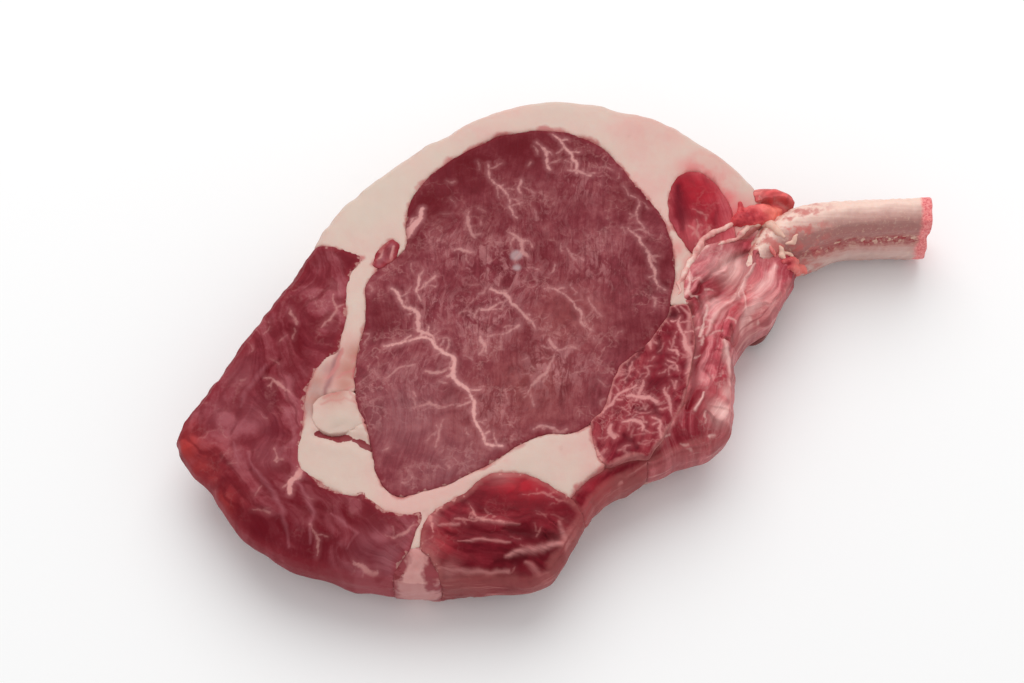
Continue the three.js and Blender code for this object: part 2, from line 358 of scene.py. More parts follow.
def refineCut(node, name, voxel):
    piece = bpy.data.objects.new(name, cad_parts[node].data.copy())
    bpy.context.scene.collection.objects.link(piece)
    pickOnly(piece)
    piece.data.materials.clear()
    bpy.ops.object.mode_set(mode="EDIT")
    bpy.ops.mesh.select_mode(type="VERT")
    bpy.ops.mesh.select_all(action="SELECT")
    bpy.ops.mesh.remove_doubles(threshold=cut["mergeReach"] * mm)
    bpy.ops.object.mode_set(mode="OBJECT")
    remesh(piece, voxel)
    settle(piece, cut["settleRounds"])
    return piece


def refineTop(piece, look):
    # the upper face carries the finest detail, so only its faces are divided
    mesh = piece.data
    level = readAll(mesh.polygons, "normal")[:, 2]
    heights = readAll(mesh.polygons, "center")[:, 2]
    upper = (level > cut["divideTurn"]) & (heights > look["topLow"] * mm)
    pickOnly(piece)
    bpy.ops.object.mode_set(mode="EDIT")
    bpy.ops.mesh.select_mode(type="FACE")
    bpy.ops.mesh.select_all(action="DESELECT")
    bpy.ops.object.mode_set(mode="OBJECT")
    mesh.polygons.foreach_set("select", upper)
    bpy.ops.object.mode_set(mode="EDIT")
    bpy.ops.mesh.subdivide(number_cuts=1)
    bpy.ops.object.mode_set(mode="OBJECT")


def plainTree(points):
    tree = kdtree.KDTree(len(points))
    for i, (x, y, _) in enumerate(points):
        tree.insert((x, y, 0), i)
    tree.balance()
    return tree


def wallOf(piece, look):
    # the points at the top of a piece's upright sides, and which way they face
    points, normals = meshPoints(piece.data)
    low = max(look["topLow"], points[:, 2].max() - cut["wallBand"])
    upright = (np.abs(normals[:, 2]) < cut["uprightTurn"]) & (points[:, 2] > low)
    return points[upright], normals[upright]


def planDistance(points, wall):
    # mm from each point to the nearest of the others, in plan
    tree = plainTree(wall)
    return np.array([tree.find((x, y, 0))[2] for x, y in points[:, :2]])


def frontEdge(points, rim, walls, name):
    # mm to the nearest free edge, and how squarely that edge faces the front
    far = max(cut["slumpReach"], cut["softReach"])
    gaps = np.full(len(points), far)
    front = np.zeros(len(points))
    own, facing = walls[name]
    others = np.concatenate([walls[other][0] for other in walls if other != name])
    free = planDistance(own, others) > cut["openGap"]
    if free.any():
        tree = plainTree(own[free])
        forward = smoothStep(*cut["slumpTurn"], -facing[free][:, 1])
        for i in np.nonzero(rim < far)[0]:
            _, nearest, gap = tree.find((points[i, 0], points[i, 1], 0))
            gaps[i] = min(gap, far)
            front[i] = forward[nearest]
    return gaps, front


def softenEdge(piece, weights):
    group = piece.vertex_groups.new(name="edge")
    for i in np.nonzero(weights > 0.02)[0]:
        group.add([int(i)], float(weights[i]), "REPLACE")
    pickOnly(piece)
    settle(piece, cut["softRounds"], group.name)


def strayPlaces(points):
    # where every seam and edge strays to, the same for all pieces
    shift = np.zeros_like(points)
    for axis in (0, 1):
        for amount, size, seed in cut["strays"]:
            shift[:, axis] += amount * waveField(flatten(points), size, seed + axis)
    return shift


def finishCut(piece, node, look, walls, otherWall):
    mesh = piece.data
    points, normals = meshPoints(mesh)
    heights = points[:, 2]
    rim = planDistance(points, walls[piece.name][0])
    gaps, front = frontEdge(points, rim, walls, piece.name)
    sunk = cut["slumpDeep"] * front * (1 - smoothStep(0, cut["slumpReach"], gaps))
    sunk *= smoothStep(*cut["slumpRise"], heights)
    upper = smoothStep(*cut["upperTurn"], normals[:, 2])
    upper *= smoothStep(*cut["upperRise"], heights - look["topLow"])
    side = 1 - smoothStep(*cut["sideTurn"], np.abs(normals[:, 2]))
    face = 1 - cut["wallFade"] * side

    draw = random.Random(look["seed"])
    veins = growStrokes(node, look["veins"], draw, growth["wander"])
    for stem in list(veins):
        veins += growTwigs(stem, look["twigReach"], look["twigWidth"], draw, True)
    veins += growFlecks(node, look["flecks"], draw)
    ridges, grooves, slits = (
        swellField(points, growStrokes(node, look[kind], draw)) for kind in ("ridges", "grooves", "slits"))
    edge, force = edgeField(points, veins)
    bundleEdge, bundleTone = bundleField(points, look)
    along, across = grainPlace(points, look)
    pale, deep, bright, cloudy, raw = (
        patchField(points, node, look[kind + "Patches"])
        for kind in ("pale", "deep", "bright", "cloudy", "raw"))

    writeGrain(mesh, np.stack([along, across, heights], 1))
    # grooves go into the deep mark and ridges into the pale one: painted shade in the grooves, partly painted
    # highlight on the ridges
    writeValues(
        mesh, veinEdge=edge, veinForce=force * face, bundleEdge=bundleEdge, bundleTone=bundleTone,
        pale=np.maximum(ridges, pale) * face, deep=np.maximum(grooves, deep) * face, bright=bright,
        cloudy=cloudy, raw=np.maximum(slits, raw), rim=rim, side=side,
        nearOther=planDistance(points, otherWall))

    lift = (
        sum(amount * waveField(flatten(points), size, seed) for amount, size, seed in cut["swells"])
        + look["ridgeHigh"] * ridges - look["grooveDeep"] * grooves - look["slitDeep"] * slits
        + look["bundleHigh"] * (bundleEdge - 0.5) * smoothStep(0, cut["seamReach"], rim)
        + look["dome"] * smoothStep(0, cut["domeReach"], rim) - look["sink"])
    amount, size, seed = cut["wallRelief"]
    wall = amount * waveField(points, size, seed) * side * (1 - smoothStep(*cut["wallTop"], heights))
    moved = points.copy()
    moved[:, :2] += normals[:, :2] * (cut["grow"] + wall)[:, None]
    moved += strayPlaces(points)
    moved[:, 2] += upper * lift - sunk
    moved[:, 2] = np.maximum(moved[:, 2], 0)
    writePoints(mesh, moved)
    soft = 1 - smoothStep(0, cut["softReach"], gaps)
    softenEdge(piece, front * soft * smoothStep(*cut["softRise"], heights))


def giveTo(piece, node, slot, finish):
    piece.data.materials.append(finish)
    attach(piece, "root")
    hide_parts(node)


# finishes

def tone(red, green, blue):
    # a colour as the eye reads it, 0 to 255, turned into the light that it sends back
    def level(value):
        value /= 255
        return value / 12.92 if value <= 0.04045 else ((value + 0.055) / 1.055) ** 2.4
    return (level(red), level(green), level(blue), 1.0)


class Finish:
    # a material under work: noises and marks make masks, and paint covers the skin coat by coat

    def __init__(self, name, tones):
        self.material = bpy.data.materials.new(name)
        self.material.use_nodes = True
        self.tree = self.material.node_tree
        self.tree.nodes.clear()
        self.tones = tones
        self.shader = self.put("ShaderNodeBsdfPrincipled")
        self.put("ShaderNodeOutputMaterial", {"Surface": self.shader.outputs[0]})
        self.place = self.put("ShaderNodeTexCoord").outputs["Object"]

    def put(self, kind, inputs=None, **settings):
        node = self.tree.nodes.new(kind)
        for key, value in settings.items():
            setattr(node, key, value)
        for key, value in (inputs or {}).items():
            if isinstance(value, bpy.types.NodeSocket):
                self.tree.links.new(value, node.inputs[key])
            else:
                node.inputs[key].default_value = value
        return node

    def mark(self, name):
        return self.put("ShaderNodeAttribute", attribute_name=name).outputs["Fac"]

    def grain(self, scale):
        # the piece's own grain, pulled out along its fibres
        grain = self.put("ShaderNodeAttribute", attribute_name="grain").outputs["Vector"]
        return self.stretch(grain, scale)

    def stretch(self, vector, scale):
        return self.put("ShaderNodeMapping", {"Vector": vector, "Scale": scale}).outputs[0]

    def noise(self, scale, detail=3.0, roughness=0.55, distortion=0.0, at=None):
        return self.put("ShaderNodeTexNoise", {
            "Vector": self.place if at is None else at, "Scale": scale, "Detail": detail,
            "Roughness": roughness, "Distortion": distortion}).outputs["Fac"]

    def warp(self, scale, amount):
        # places pushed about by a noise
        push = self.put("ShaderNodeTexNoise", {"Vector": self.place, "Scale": scale, "Detail": 3.0})
        return self.put("ShaderNodeVectorMath", {
            0: push.outputs["Color"], 1: (amount, amount, amount), 2: self.place},
            operation="MULTIPLY_ADD").outputs[0]

    def work(self, operation, first, second=0.0):
        return self.put("ShaderNodeMath", {0: first, 1: second}, operation=operation).outputs[0]

    def times(self, first, second):
        return self.work("MULTIPLY", first, second)

    def plus(self, first, second):
        return self.work("ADD", first, second)

    def less(self, first, second):
        return self.work("SUBTRACT", first, second)

    def mix(self, *shares):
        # values added up by weight
        total = None
        for value, weight in shares:
            part = self.times(value, weight)
            total = part if total is None else self.plus(total, part)
        return total

    def stray(self, value, other, amount):
        # a value pushed up and down by a noise
        return self.plus(value, self.times(self.less(other, 0.5), amount))

    def span(self, value, low, high, outLow=0.0, outHigh=1.0):
        return self.put("ShaderNodeMapRange", {
            "Value": value, "From Min": low, "From Max": high, "To Min": outLow, "To Max": outHigh},
            interpolation_type="SMOOTHSTEP").outputs[0]

    def ramp(self, share, stops):
        node = self.put("ShaderNodeValToRGB", {0: share})
        band = node.color_ramp
        while len(band.elements) < len(stops):
            band.elements.new(0.5)
        for element, (place, colour) in zip(band.elements, stops):
            element.position = place
            element.color = tone(*colour)
        return node.outputs[0]

    def toneRamp(self, share, *stops):
        return self.ramp(share, [(place, self.tones[name]) for place, name in stops])

    def paint(self, share, coat):
        # a coat is the name of a tone, or a colour worked out before
        colour = tone(*self.tones[coat]) if isinstance(coat, str) else coat
        node = self.put("ShaderNodeMix", {0: share, 6: self.colour, 7: colour}, data_type="RGBA")
        self.colour = node.outputs[2]

    def close(self, roughness, height, strength, distance, skin):
        # gloss and relief go on last
        bump = self.put("ShaderNodeBump", {
            "Height": height, "Strength": strength, "Distance": distance * mm})
        linked = {"Base Color": self.colour, "Roughness": roughness, "Normal": bump.outputs[0]}
        for key, value in linked.items():
            self.tree.links.new(value, self.shader.inputs[key])
        for key, value in skin.items():
            self.shader.inputs[key].default_value = value
        return self.material


meatSkin = {
    "Specular IOR Level": 0.07, "Coat Weight": 0.02, "Coat Roughness": 0.25,
    "Subsurface Weight": 0.05, "Subsurface Radius": (1.0, 0.2, 0.15), "Subsurface Scale": 0.9 * mm,
}
wetSkin = {**meatSkin, "Specular IOR Level": 0.12, "Coat Weight": 0.08, "Coat Roughness": 0.2}
fatSkin = {
    **meatSkin, "Specular IOR Level": 0.3, "Coat Weight": 0.05, "Coat Roughness": 0.3,
    "Subsurface Weight": 0.15, "Subsurface Radius": (1.0, 0.5, 0.35),
}
# what a muscle's finish has unless its own dictionary says otherwise
plainMeat = {
    "gristle": (178, 150, 152), "film": 0.35, "filmReach": 1.6, "fatty": 0.75, "skin": meatSkin,
    # noises: how fine they are, and how they are pulled along the fibres or, in the layers, laid level
    "fineScale": 1000.0, "tearScale": 420.0, "netSpread": 70.0, "broadScale": 36.0,
    "streakPull": (0.09, 1.0, 0.3), "threadPull": (0.1, 1.3, 0.4), "fluffPull": (0.22, 0.4, 0.4),
    "layerPull": (45.0, 45.0, 420.0),
}


def netLines(skin, scale, width):
    # threads between bundles: the edges of warped cells
    cells = skin.put("ShaderNodeTexVoronoi", {"Vector": skin.warp(2.2 * scale, 1.1 / scale), "Scale": scale},
                     feature="DISTANCE_TO_EDGE").outputs["Distance"]
    return skin.span(cells, 0.0, width, 1.0, 0.0)


def curlLines(skin, scale, width):
    # curling threads: the level lines of a noise
    level = skin.noise(scale, 1.5, 0.5, at=skin.warp(1.7 * scale, 0.5 / scale))
    return skin.span(skin.work("ABSOLUTE", skin.less(level, 0.5)), 0.0, width, 1.0, 0.0)


def muscleFinish(name, look):
    skin = Finish(name, look)
    span, mark, times = skin.span, skin.mark, skin.times
    fine = skin.noise(look["fineScale"], 4.0, 0.65)
    mottle = skin.noise(look["mottleScale"], 4.0, 0.62)
    broad = skin.noise(look["broadScale"], 2.0)
    tear = skin.noise(look["tearScale"], 2.0)
    streak = skin.noise(look["streakScale"], 5.0, 0.6, 0.4, skin.grain(look["streakPull"]))
    shade = skin.mix((streak, look["streak"]), (mottle, 0.75 - look["streak"]), (broad, 0.25))
    shade = skin.stray(shade, mark("bundleTone"), look["bundleTone"])
    shade = skin.stray(shade, fine, 0.12)
    skin.colour = skin.toneRamp(shade, (0.36, "dark"), (0.5, "middle"), (0.64, "light"))
    skin.paint(times(mark("bright"), span(mottle, 0.3, 0.6, 0.5, 1.0)), "bright")
    fluff = skin.noise(1.0, 6.0, 0.72, 0.7, skin.grain(look["fluffPull"]))
    skin.paint(times(span(fluff, 0.44, 0.62), mark("cloudy")), "fluff")

    # the net of fine threads
    net = skin.work("MAXIMUM", netLines(skin, look["netScale"], 0.1),
                    times(curlLines(skin, look["curlScale"], 0.035), look["curls"]))
    net = times(times(net, span(skin.noise(look["netSpread"], 3.0), 0.46, 0.64)), look["net"])
    skin.paint(times(net, span(fine, 0.35, 0.6, 0.3, 1.0)), "vein")

    # the sides, with level layers of fat; on the rib strip their darker tone is partly painted shade
    side = times(mark("side"), span(mottle, 0.35, 0.6, 0.3, 0.8))
    skin.paint(side, "wall")
    layers = skin.noise(1.0, 4.0, 0.6, 0.6, skin.stretch(skin.place, look["layerPull"]))
    skin.paint(times(span(layers, 0.54, 0.66, 0.0, look["layers"]), side), "pale")

    # creases, seams between bundles, fibres and folds: the sunk grooves and bundle seams are painted darker
    # as painted shade, the deep patches are the meat's own darker red
    skin.paint(times(mark("deep"), span(shade, 0.4, 0.62, 1.0, 0.8)), "deep")
    # painted shade in the sunk seams between bundles
    skin.paint(span(skin.stray(mark("bundleEdge"), mottle, 0.8), 0.0, 0.7, look["between"], 0.0), "deep")
    threads = skin.noise(1.0, 3.0, at=skin.grain(look["threadPull"]))
    # the dark threads grow stronger in the creases and the marbling: partly painted shade in the creases
    creased = span(skin.plus(mark("cloudy"), mark("deep")), 0.0, 0.7, 0.3, 1.0)
    skin.paint(times(span(threads, 0.52, 0.68, 0.0, look["threads"]), creased), "dark")
    skin.paint(span(mark("raw"), 0.3, 0.8, 0.0, 0.8), "gristle")
    # partly painted highlight: the raised ridges and glossy spots are painted pale, besides pale membrane and
    # tissue
    skin.paint(times(mark("pale"), span(streak, 0.35, 0.62, 0.55, 1.0)), "pale")

    # veins with a soft halo and a ragged core
    ragged = skin.mix((fine, 0.9), (tear, 0.9))
    edge = skin.plus(mark("veinEdge"), skin.less(ragged, 0.9))
    skin.paint(times(span(edge, -0.2, 1.8, look["halo"], 0.0), mark("veinForce")), "fluff")
    core = times(span(edge, -0.4, 0.35, 1.0, 0.0), mark("veinForce"))
    skin.paint(core, "vein")

    # the edge, where fat clings and a film ends
    fatty = skin.mix((mark("nearOther"), 1.0), (mottle, 4.0), (tear, 2.4))
    skin.paint(span(fatty, 3.1, 3.5, look["fatty"], 0.0), "fatColour")
    rim = skin.stray(mark("rim"), mottle, 3.0)
    skin.paint(span(rim, -0.2, look["filmReach"], look["film"], 0.0), "filmColour")

    gloss = span(skin.mix((fine, 0.5), (mottle, 0.5)), 0.35, 0.65, look["gloss"], look["gloss"] + 0.2)
    height = skin.mix((streak, 0.9), (fine, 0.4), (mottle, 0.6), (core, 0.12))
    return skin.close(gloss, height, look["bump"], 0.6, look["skin"])


def fatFinish(name, look):
    skin = Finish(name, look)
    span, mark, times = skin.span, skin.mark, skin.times
    broad = skin.noise(look["broadScale"], 3.0, 0.5)
    fine = skin.noise(look["fineScale"], 4.0, 0.6)
    mottle = skin.noise(look["mottleScale"], 3.0)
    shade = skin.mix((broad, 0.7), (mottle, 0.2), (fine, 0.1))
    skin.colour = skin.toneRamp(shade, (0.38, "cream"), (0.5, "middle"), (0.62, "pink"))
    skin.paint(mark("pale"), "cream")
    skin.paint(times(mark("bright"), span(mottle, 0.35, 0.6, 0.6, 1.0)), "blush")
    skin.paint(mark("cloudy"), "tendon")
    # painted shade: the fat's grooves and the patches beside its fold are darkened with the fold tone
    skin.paint(mark("deep"), "fold")
    ragged = skin.less(skin.mix((fine, 0.8), (mottle, 0.8)), 0.8)
    edge = skin.plus(mark("veinEdge"), ragged)
    skin.paint(times(span(edge, -0.3, 0.6, 1.0, 0.0), mark("veinForce")), "line")

    # the sides, then the stain along the meat, then the raw crevice
    side = skin.mix((mark("side"), 1.0), (mottle, 1.6), (fine, 0.8))
    skin.paint(span(side, 1.5, 1.9, 0.0, look["wallShare"]), "wall")
    meat = skin.stray(skin.plus(mark("nearOther"), ragged), mottle, look["bleedRagged"])
    skin.paint(span(meat, -0.2, look["bleedReach"], look["bleed"], 0.0), "stain")
    torn = skin.less(skin.mix((mottle, 2.2), (fine, 2.8)), 1.3)
    skin.paint(span(times(mark("raw"), torn), 0.42, 0.62), "raw")
    height = skin.mix((mottle, 0.8), (fine, 0.25))
    return skin.close(span(fine, 0.3, 0.7, 0.4, 0.55), height, 0.16, 0.5, fatSkin)


# the eye of the rib

eyeMuscle = {
    **plainCut, "seed": 3, "voxel": 0.9, "grain": 84, "sway": 1.6, "bundle": (7.0, 3.6), "bundleHigh": 0.12,
    "dome": 0.3, "grooveDeep": 0.3, "twigReach": 6.0, "twigWidth": 0.5, "flecks": (90, 4.0, 0.4, 0.45),
    # veins: across, up, heading, legs of (mm, turn), width in mm, strength
    "veins": (
        (0.09, 0.39, -2, ((16, 0), (9, -18), (13, -25), (15, -4), (6, -8), (5, 42)), 1.15, 1.0),
        (0.25, 0.39, 88, ((4, 0), (5, 62), (5, -60), (5, 50), (5, -35), (4, 30)), 1.2, 0.8),
        (0.20, 0.51, 92, ((10, 4),), 0.9, 0.7),
        (0.20, 0.55, 34, ((6, 0),), 0.7, 0.6),
        (0.10, 0.63, 42, ((9, 0), (9, 4), (4, 40)), 2.0, 0.85),
        (0.41, 0.90, -72, ((9, 3), (9, -3), (7, 12)), 0.7, 0.6),
        (0.62, 0.99, -65, ((13, -5), (3, 45), (4, -60)), 0.9, 0.75),
        (0.67, 0.88, -8, ((8, 0),), 0.7, 0.55),
        (0.57, 0.96, -70, ((5, 0), (6, -15)), 0.9, 0.65),
        (0.52, 0.85, -85, ((5, 0),), 0.8, 0.5),
        (0.86, 0.71, -50, ((5, 0), (5, -40), (8, 30), (8, 10)), 0.8, 0.65),
        (0.87, 0.81, -66, ((10, 5), (6, 20)), 0.6, 0.5),
        (0.42, 0.54, -25, ((8, 0), (7, -18), (6, -8)), 1.1, 0.65),
        (0.38, 0.49, -20, ((4, 0), (5, 50)), 0.9, 0.6),
        (0.41, 0.41, -3, ((6, 8), (5, 20)), 0.7, 0.5),
        (0.59, 0.54, -12, ((6, 0), (8, -27), (9, -8)), 0.8, 0.55),
        (0.73, 0.52, -75, ((8, 0),), 0.7, 0.4),
        (0.61, 0.40, -65, ((4, 0),), 1.0, 0.5),
        (0.63, 0.37, 30, ((6, 0),), 0.7, 0.45),
        (0.62, 0.36, -115, ((9, -5), (7, 5)), 0.9, 0.45),
        (0.39, 0.41, -80, ((5, 0),), 1.1, 0.6),
        (0.22, 0.32, 0, ((6, 5),), 0.8, 0.5),
        (0.18, 0.22, 32, ((6, 0), (8, -32)), 0.8, 0.4),
        (0.28, 0.19, -118, ((10, 5),), 0.8, 0.4),
        (0.30, 0.65, 12, ((7, 0),), 0.8, 0.5),
        (0.35, 0.76, -80, ((5, 0), (5, 10)), 1.0, 0.4),
        (0.66, 0.66, -60, ((6, 0),), 0.8, 0.35),
        (0.48, 0.70, -35, ((5, 0), (6, -40)), 1.2, 0.5),
        (0.08, 0.30, 20, ((6, 0), (6, -10)), 0.6, 0.4),
        (0.55, 0.17, 12, ((5, 0), (6, 6)), 1.0, 0.5),
    ),
    "palePatches": ((0.16, 0.20, 14, 0.5), (0.30, 0.06, 14, 0.45)),
    "deepPatches": ((0.34, 0.90, 15, 1.0), (0.50, 0.97, 17, 1.0), (0.22, 0.79, 12, 1.0),
                    (0.13, 0.69, 8, 1.0), (0.66, 0.95, 12, 0.75), (0.86, 0.80, 10, 0.7),
                    (0.95, 0.62, 8, 0.55), (0.08, 0.47, 8, 0.6), (0.40, 0.74, 11, 0.6),
                    (0.60, 0.66, 10, 0.45), (0.90, 0.42, 9, 0.5), (0.52, 0.42, 7, 0.3),
                    (0.36, 0.56, 7, 0.3), (0.48, 0.80, 22, 0.5), (0.62, 0.80, 16, 0.4)),
    "brightPatches": ((0.55, 0.28, 16, 0.5), (0.66, 0.46, 14, 0.45), (0.40, 0.22, 14, 0.4)),
    "cloudyPatches": ((0.45, 0.61, 17, 0.85), (0.30, 0.66, 12, 0.7), (0.56, 0.76, 12, 0.6),
                     (0.40, 0.47, 14, 0.85), (0.74, 0.62, 14, 0.6), (0.24, 0.50, 11, 0.7),
                     (0.62, 0.34, 12, 0.75), (0.70, 0.84, 9, 0.7), (0.2, 0.3, 14, 0.55),
                     (0.42, 0.22, 12, 0.5)),
    "grooves": ((0.525, 0.650, -84, ((6, 0),), 1.3, 1.0),),
    "rawPatches": ((0.50, 0.635, 2.4, 1.0), (0.505, 0.60, 2.0, 0.8)),
    "finish": {
        **plainMeat, "dark": (104, 28, 38), "middle": (131, 53, 62), "light": (156, 84, 88),
        "deep": (98, 6, 20), "bright": (152, 80, 76), "pale": (154, 100, 104),
        "fluff": (182, 118, 120), "vein": (218, 158, 154), "filmColour": (132, 40, 50),
        "fatColour": (208, 164, 154), "wall": (118, 48, 54),
        "streakScale": 0.85, "streak": 0.22, "mottleScale": 200.0,
        "bundleTone": 0.06, "between": 0.14, "threads": 0.45, "netScale": 150.0, "curlScale": 130.0,
        "curls": 0.9, "net": 0.32, "halo": 0.55, "gloss": 0.46, "bump": 0.32, "layers": 0.3,
    },
}

# the muscle that wraps the left and the front

capMuscle = {
    **plainCut, "seed": 4, "voxel": 0.8, "grain": 112, "sway": 3.5, "bow": 0.35, "bundle": (26.0, 6.5),
    "bundleHigh": 0.2, "dome": 0.35, "ridgeHigh": 0.4, "grooveDeep": 0.6,
    "twigReach": 4.0, "twigWidth": 0.5, "flecks": (40, 4.0, 0.4, 0.35),
    "veins": (
        (0.355, 0.59, -20, ((3, 0), (6, -35)), 0.9, 0.6),
        (0.58, 0.74, 50, ((8, 15), (5, 10)), 0.7, 0.5),
        (0.445, 0.80, -95, ((5, 0),), 0.8, 0.5),
        (0.513, 0.319, -123, ((10, 0),), 1.7, 0.9),
        (0.41, 0.375, -80, ((5, 0),), 0.8, 0.5),
        (0.33, 0.20, -50, ((6, 0),), 0.6, 0.4),
        (0.56, 0.15, -60, ((6, 0), (4, -40)), 0.6, 0.5),
        (0.74, 0.055, -10, ((8, 0),), 1.0, 0.6),
        (0.86, 0.12, -20, ((8, 0), (6, 10)), 0.8, 0.5),
    ),
    "ridges": (
        (0.293, 0.369, -62, ((12, 0), (12, 8), (12, -18)), 1.7, 0.65),
        (0.501, 0.278, -58, ((13, 0), (10, -36)), 1.6, 0.65),
        (0.641, 0.179, -32, ((11, 0), (5, -90)), 1.4, 0.55),
        (0.24, 0.40, -75, ((10, 0),), 1.6, 0.5),
        (0.70, 0.03, -14, ((10, 0), (8, 0)), 2.6, 0.6),
        (0.36, 0.62, -125, ((9, 0), (7, 10)), 2.2, 0.5),
        (0.30, 0.50, -110, ((9, 0),), 2.0, 0.45),
    ),
    "grooves": (
        (0.443, 0.745, -62, ((5, 0), (6, -5)), 4.0, 1.0),
        (0.34, 0.58, 40, ((9, 5),), 1.4, 0.9),
        (0.19, 0.36, -50, ((6, 0),), 3.0, 0.7),
        (0.40, 0.24, -52, ((15, 0),), 3.2, 0.8),
        (0.51, 0.28, -20, ((20, 0),), 3.4, 1.0),
        (0.59, 0.195, -30, ((19, 0),), 3.0, 0.9),
        (0.26, 0.52, -100, ((12, 0),), 1.6, 0.6),
        (0.70, 0.15, -18, ((18, 0),), 2.6, 0.7),
        (0.24, 0.27, -42, ((14, 0),), 2.0, 0.6),
        (0.31, 0.31, -50, ((13, 0),), 2.6, 0.8),
        (0.36, 0.20, -42, ((14, 0),), 2.6, 0.8),
        (0.48, 0.21, -30, ((12, 0),), 2.8, 0.8),
    ),
    "palePatches": ((0.32, 0.47, 7, 0.4), (0.38, 0.36, 6, 0.35), (0.24, 0.60, 6, 0.35),
                    (0.16, 0.47, 5, 0.3), (1.0, 0.09, 6, 0.9), (0.88, 0.05, 5, 0.9),
                    (0.84, 0.11, 4, 0.6), (0.75, 0.0, 7, 0.6), (0.80, 0.09, 6, 0.45)),
    "deepPatches": ((0.34, 0.13, 14, 0.8), (0.58, 0.20, 17, 0.9), (0.46, 0.66, 9, 0.4),
                    (0.55, 0.97, 6, 0.9), (0.08, 0.30, 6, 0.3), (0.82, 0.17, 13, 0.7),
                    (0.70, 0.97, 6, 0.8), (0.22, 0.30, 8, 0.4)),
    "brightPatches": ((0.03, 0.40, 7, 1.0), (0.10, 0.31, 8, 0.9), (0.19, 0.22, 8, 0.8), (0.14, 0.36, 6, 0.6)),
    "finish": {
        **plainMeat, "dark": (108, 20, 34), "middle": (134, 46, 56), "light": (162, 84, 92),
        "deep": (104, 10, 24), "bright": (176, 56, 54), "pale": (166, 94, 102),
        "fluff": (180, 108, 112), "vein": (212, 148, 144), "filmColour": (148, 44, 54),
        "fatColour": (208, 160, 150), "wall": (148, 76, 82),
        "streakScale": 0.6, "streak": 0.28, "mottleScale": 130.0,
        "bundleTone": 0.3, "between": 0.5, "threads": 0.35, "netScale": 120.0, "curlScale": 110.0,
        "curls": 0.6, "net": 0.22, "halo": 0.4, "gloss": 0.44, "bump": 0.3, "layers": 0.6,
    },
}

# the domed muscle at the front, and the small red ones like it

redFinish = {
    **plainMeat, "dark": (98, 10, 24), "middle": (126, 24, 38), "light": (152, 54, 64),
    "deep": (86, 6, 18), "bright": (170, 30, 44), "pale": (206, 136, 134),
    "fluff": (184, 100, 104), "vein": (212, 140, 136), "filmColour": (190, 112, 108),
    "fatColour": (212, 156, 148), "wall": (132, 50, 58),
    "streakScale": 0.6, "streak": 0.4, "mottleScale": 120.0,
    "bundleTone": 0.2, "between": 0.3, "threads": 0.35, "netScale": 140.0, "curlScale": 130.0,
    "curls": 0.5, "net": 0.12, "halo": 0.3, "gloss": 0.4, "bump": 0.3, "layers": 0.6,
}

frontMuscle = {
    **plainCut, "seed": 5, "voxel": 0.7, "grain": -8, "sway": 1.8, "bow": -0.9, "bundle": (22.0, 4.4),
    "bundleHigh": 0.2, "dome": 1.0, "ridgeHigh": 0.5, "grooveDeep": 0.8,
    "twigReach": 3.0, "twigWidth": 0.45, "flecks": (14, 4.0, 0.4, 0.4),
    "veins": (
        (0.29, 0.69, -40, ((4, 0), (7, 32), (3, 12)), 0.7, 0.7),
        (0.62, 0.78, 3, ((5, 0), (9, -12)), 0.6, 0.4),
        (0.09, 0.68, -150, ((3, 0), (4, 45), (4, 40)), 1.0, 0.8),
        (0.20, 0.56, -20, ((6, 0), (6, 15)), 0.7, 0.5),
    ),
    "ridges": (
        (0.22, 0.34, -8, ((8, 0), (8, 2)), 1.3, 0.6),
        (0.51, 0.20, 15, ((8, 0), (7, 8), (6, 6)), 1.8, 0.8),
        (0.30, 0.55, -6, ((9, 0), (6, 4)), 1.0, 0.5),
        (0.02, 0.14, -6, ((8, 0), (10, 5), (8, -3)), 1.3, 0.8),
        (0.64, 0.16, -35, ((5, 0), (7, 40)), 2.0, 0.6),
        (0.86, 0.55, -70, ((6, 0), (6, -20)), 2.2, 0.7),
        (0.99, 0.50, -95, ((6, 0), (7, -18), (5, -15)), 2.4, 0.6),
        (0.03, 0.55, 75, ((5, 0), (4, -20)), 2.0, 0.8),
        (0.10, 0.50, 5, ((6, 0),), 1.4, 0.6),
    ),
    "grooves": (
        (0.50, 0.45, -12, ((12, 0), (5, 10)), 4.4, 1.0),
        (0.46, 0.16, 3, ((9, 0),), 3.2, 0.9),
        (0.15, 0.42, -5, ((12, 0), (8, 0)), 3.2, 0.7),
        (0.12, 0.04, -5, ((12, 0), (8, 0)), 2.4, 0.7),
        (0.30, 0.62, -4, ((14, 0),), 2.0, 0.5),
    ),
    "palePatches": ((0.30, 0.95, 3, 0.5), (0.50, 1.02, 4, 0.6), (0.72, 1.0, 3, 0.4),
                    (0.06, 0.55, 2.5, 0.5), (0.02, 0.2, 5, 0.6), (0.17, 0.12, 3, 0.5),
                    (0.97, 0.36, 5, 0.7)),
    "deepPatches": ((0.62, 0.52, 7, 0.6), (0.55, 0.12, 6, 0.8), (0.80, 0.25, 5, 0.7),
                    (0.30, 0.42, 6, 0.6), (0.38, 0.68, 5, 0.4), (0.90, 0.60, 4, 0.5)),
    "brightPatches": ((0.62, 0.85, 9, 1.0), (0.12, 0.32, 5, 0.5)),
    "finish": {**redFinish, "light": (142, 42, 52), "wall": (116, 26, 40), "layers": 0.8},
}

narrowMuscle = {
    **plainCut, "seed": 6, "voxel": 0.6, "grain": 55, "sway": 1.2, "bundle": (12.0, 3.5), "bundleHigh": 0.3,
    "dome": 0.5, "ridgeHigh": 0.5, "grooveDeep": 0.6, "twigReach": 2.0, "twigWidth": 0.5,
    "veins": ((0.35, 0.3, 60, ((5, 0), (6, -10)), 1.2, 0.7),),
    "ridges": ((0.62, 0.62, 10, ((6, 0), (5, -10)), 2.4, 1.0),),
    "brightPatches": ((0.4, 0.5, 6, 0.5),), "deepPatches": ((0.9, 0.4, 9, 0.9),),
    "finish": redFinish,
}

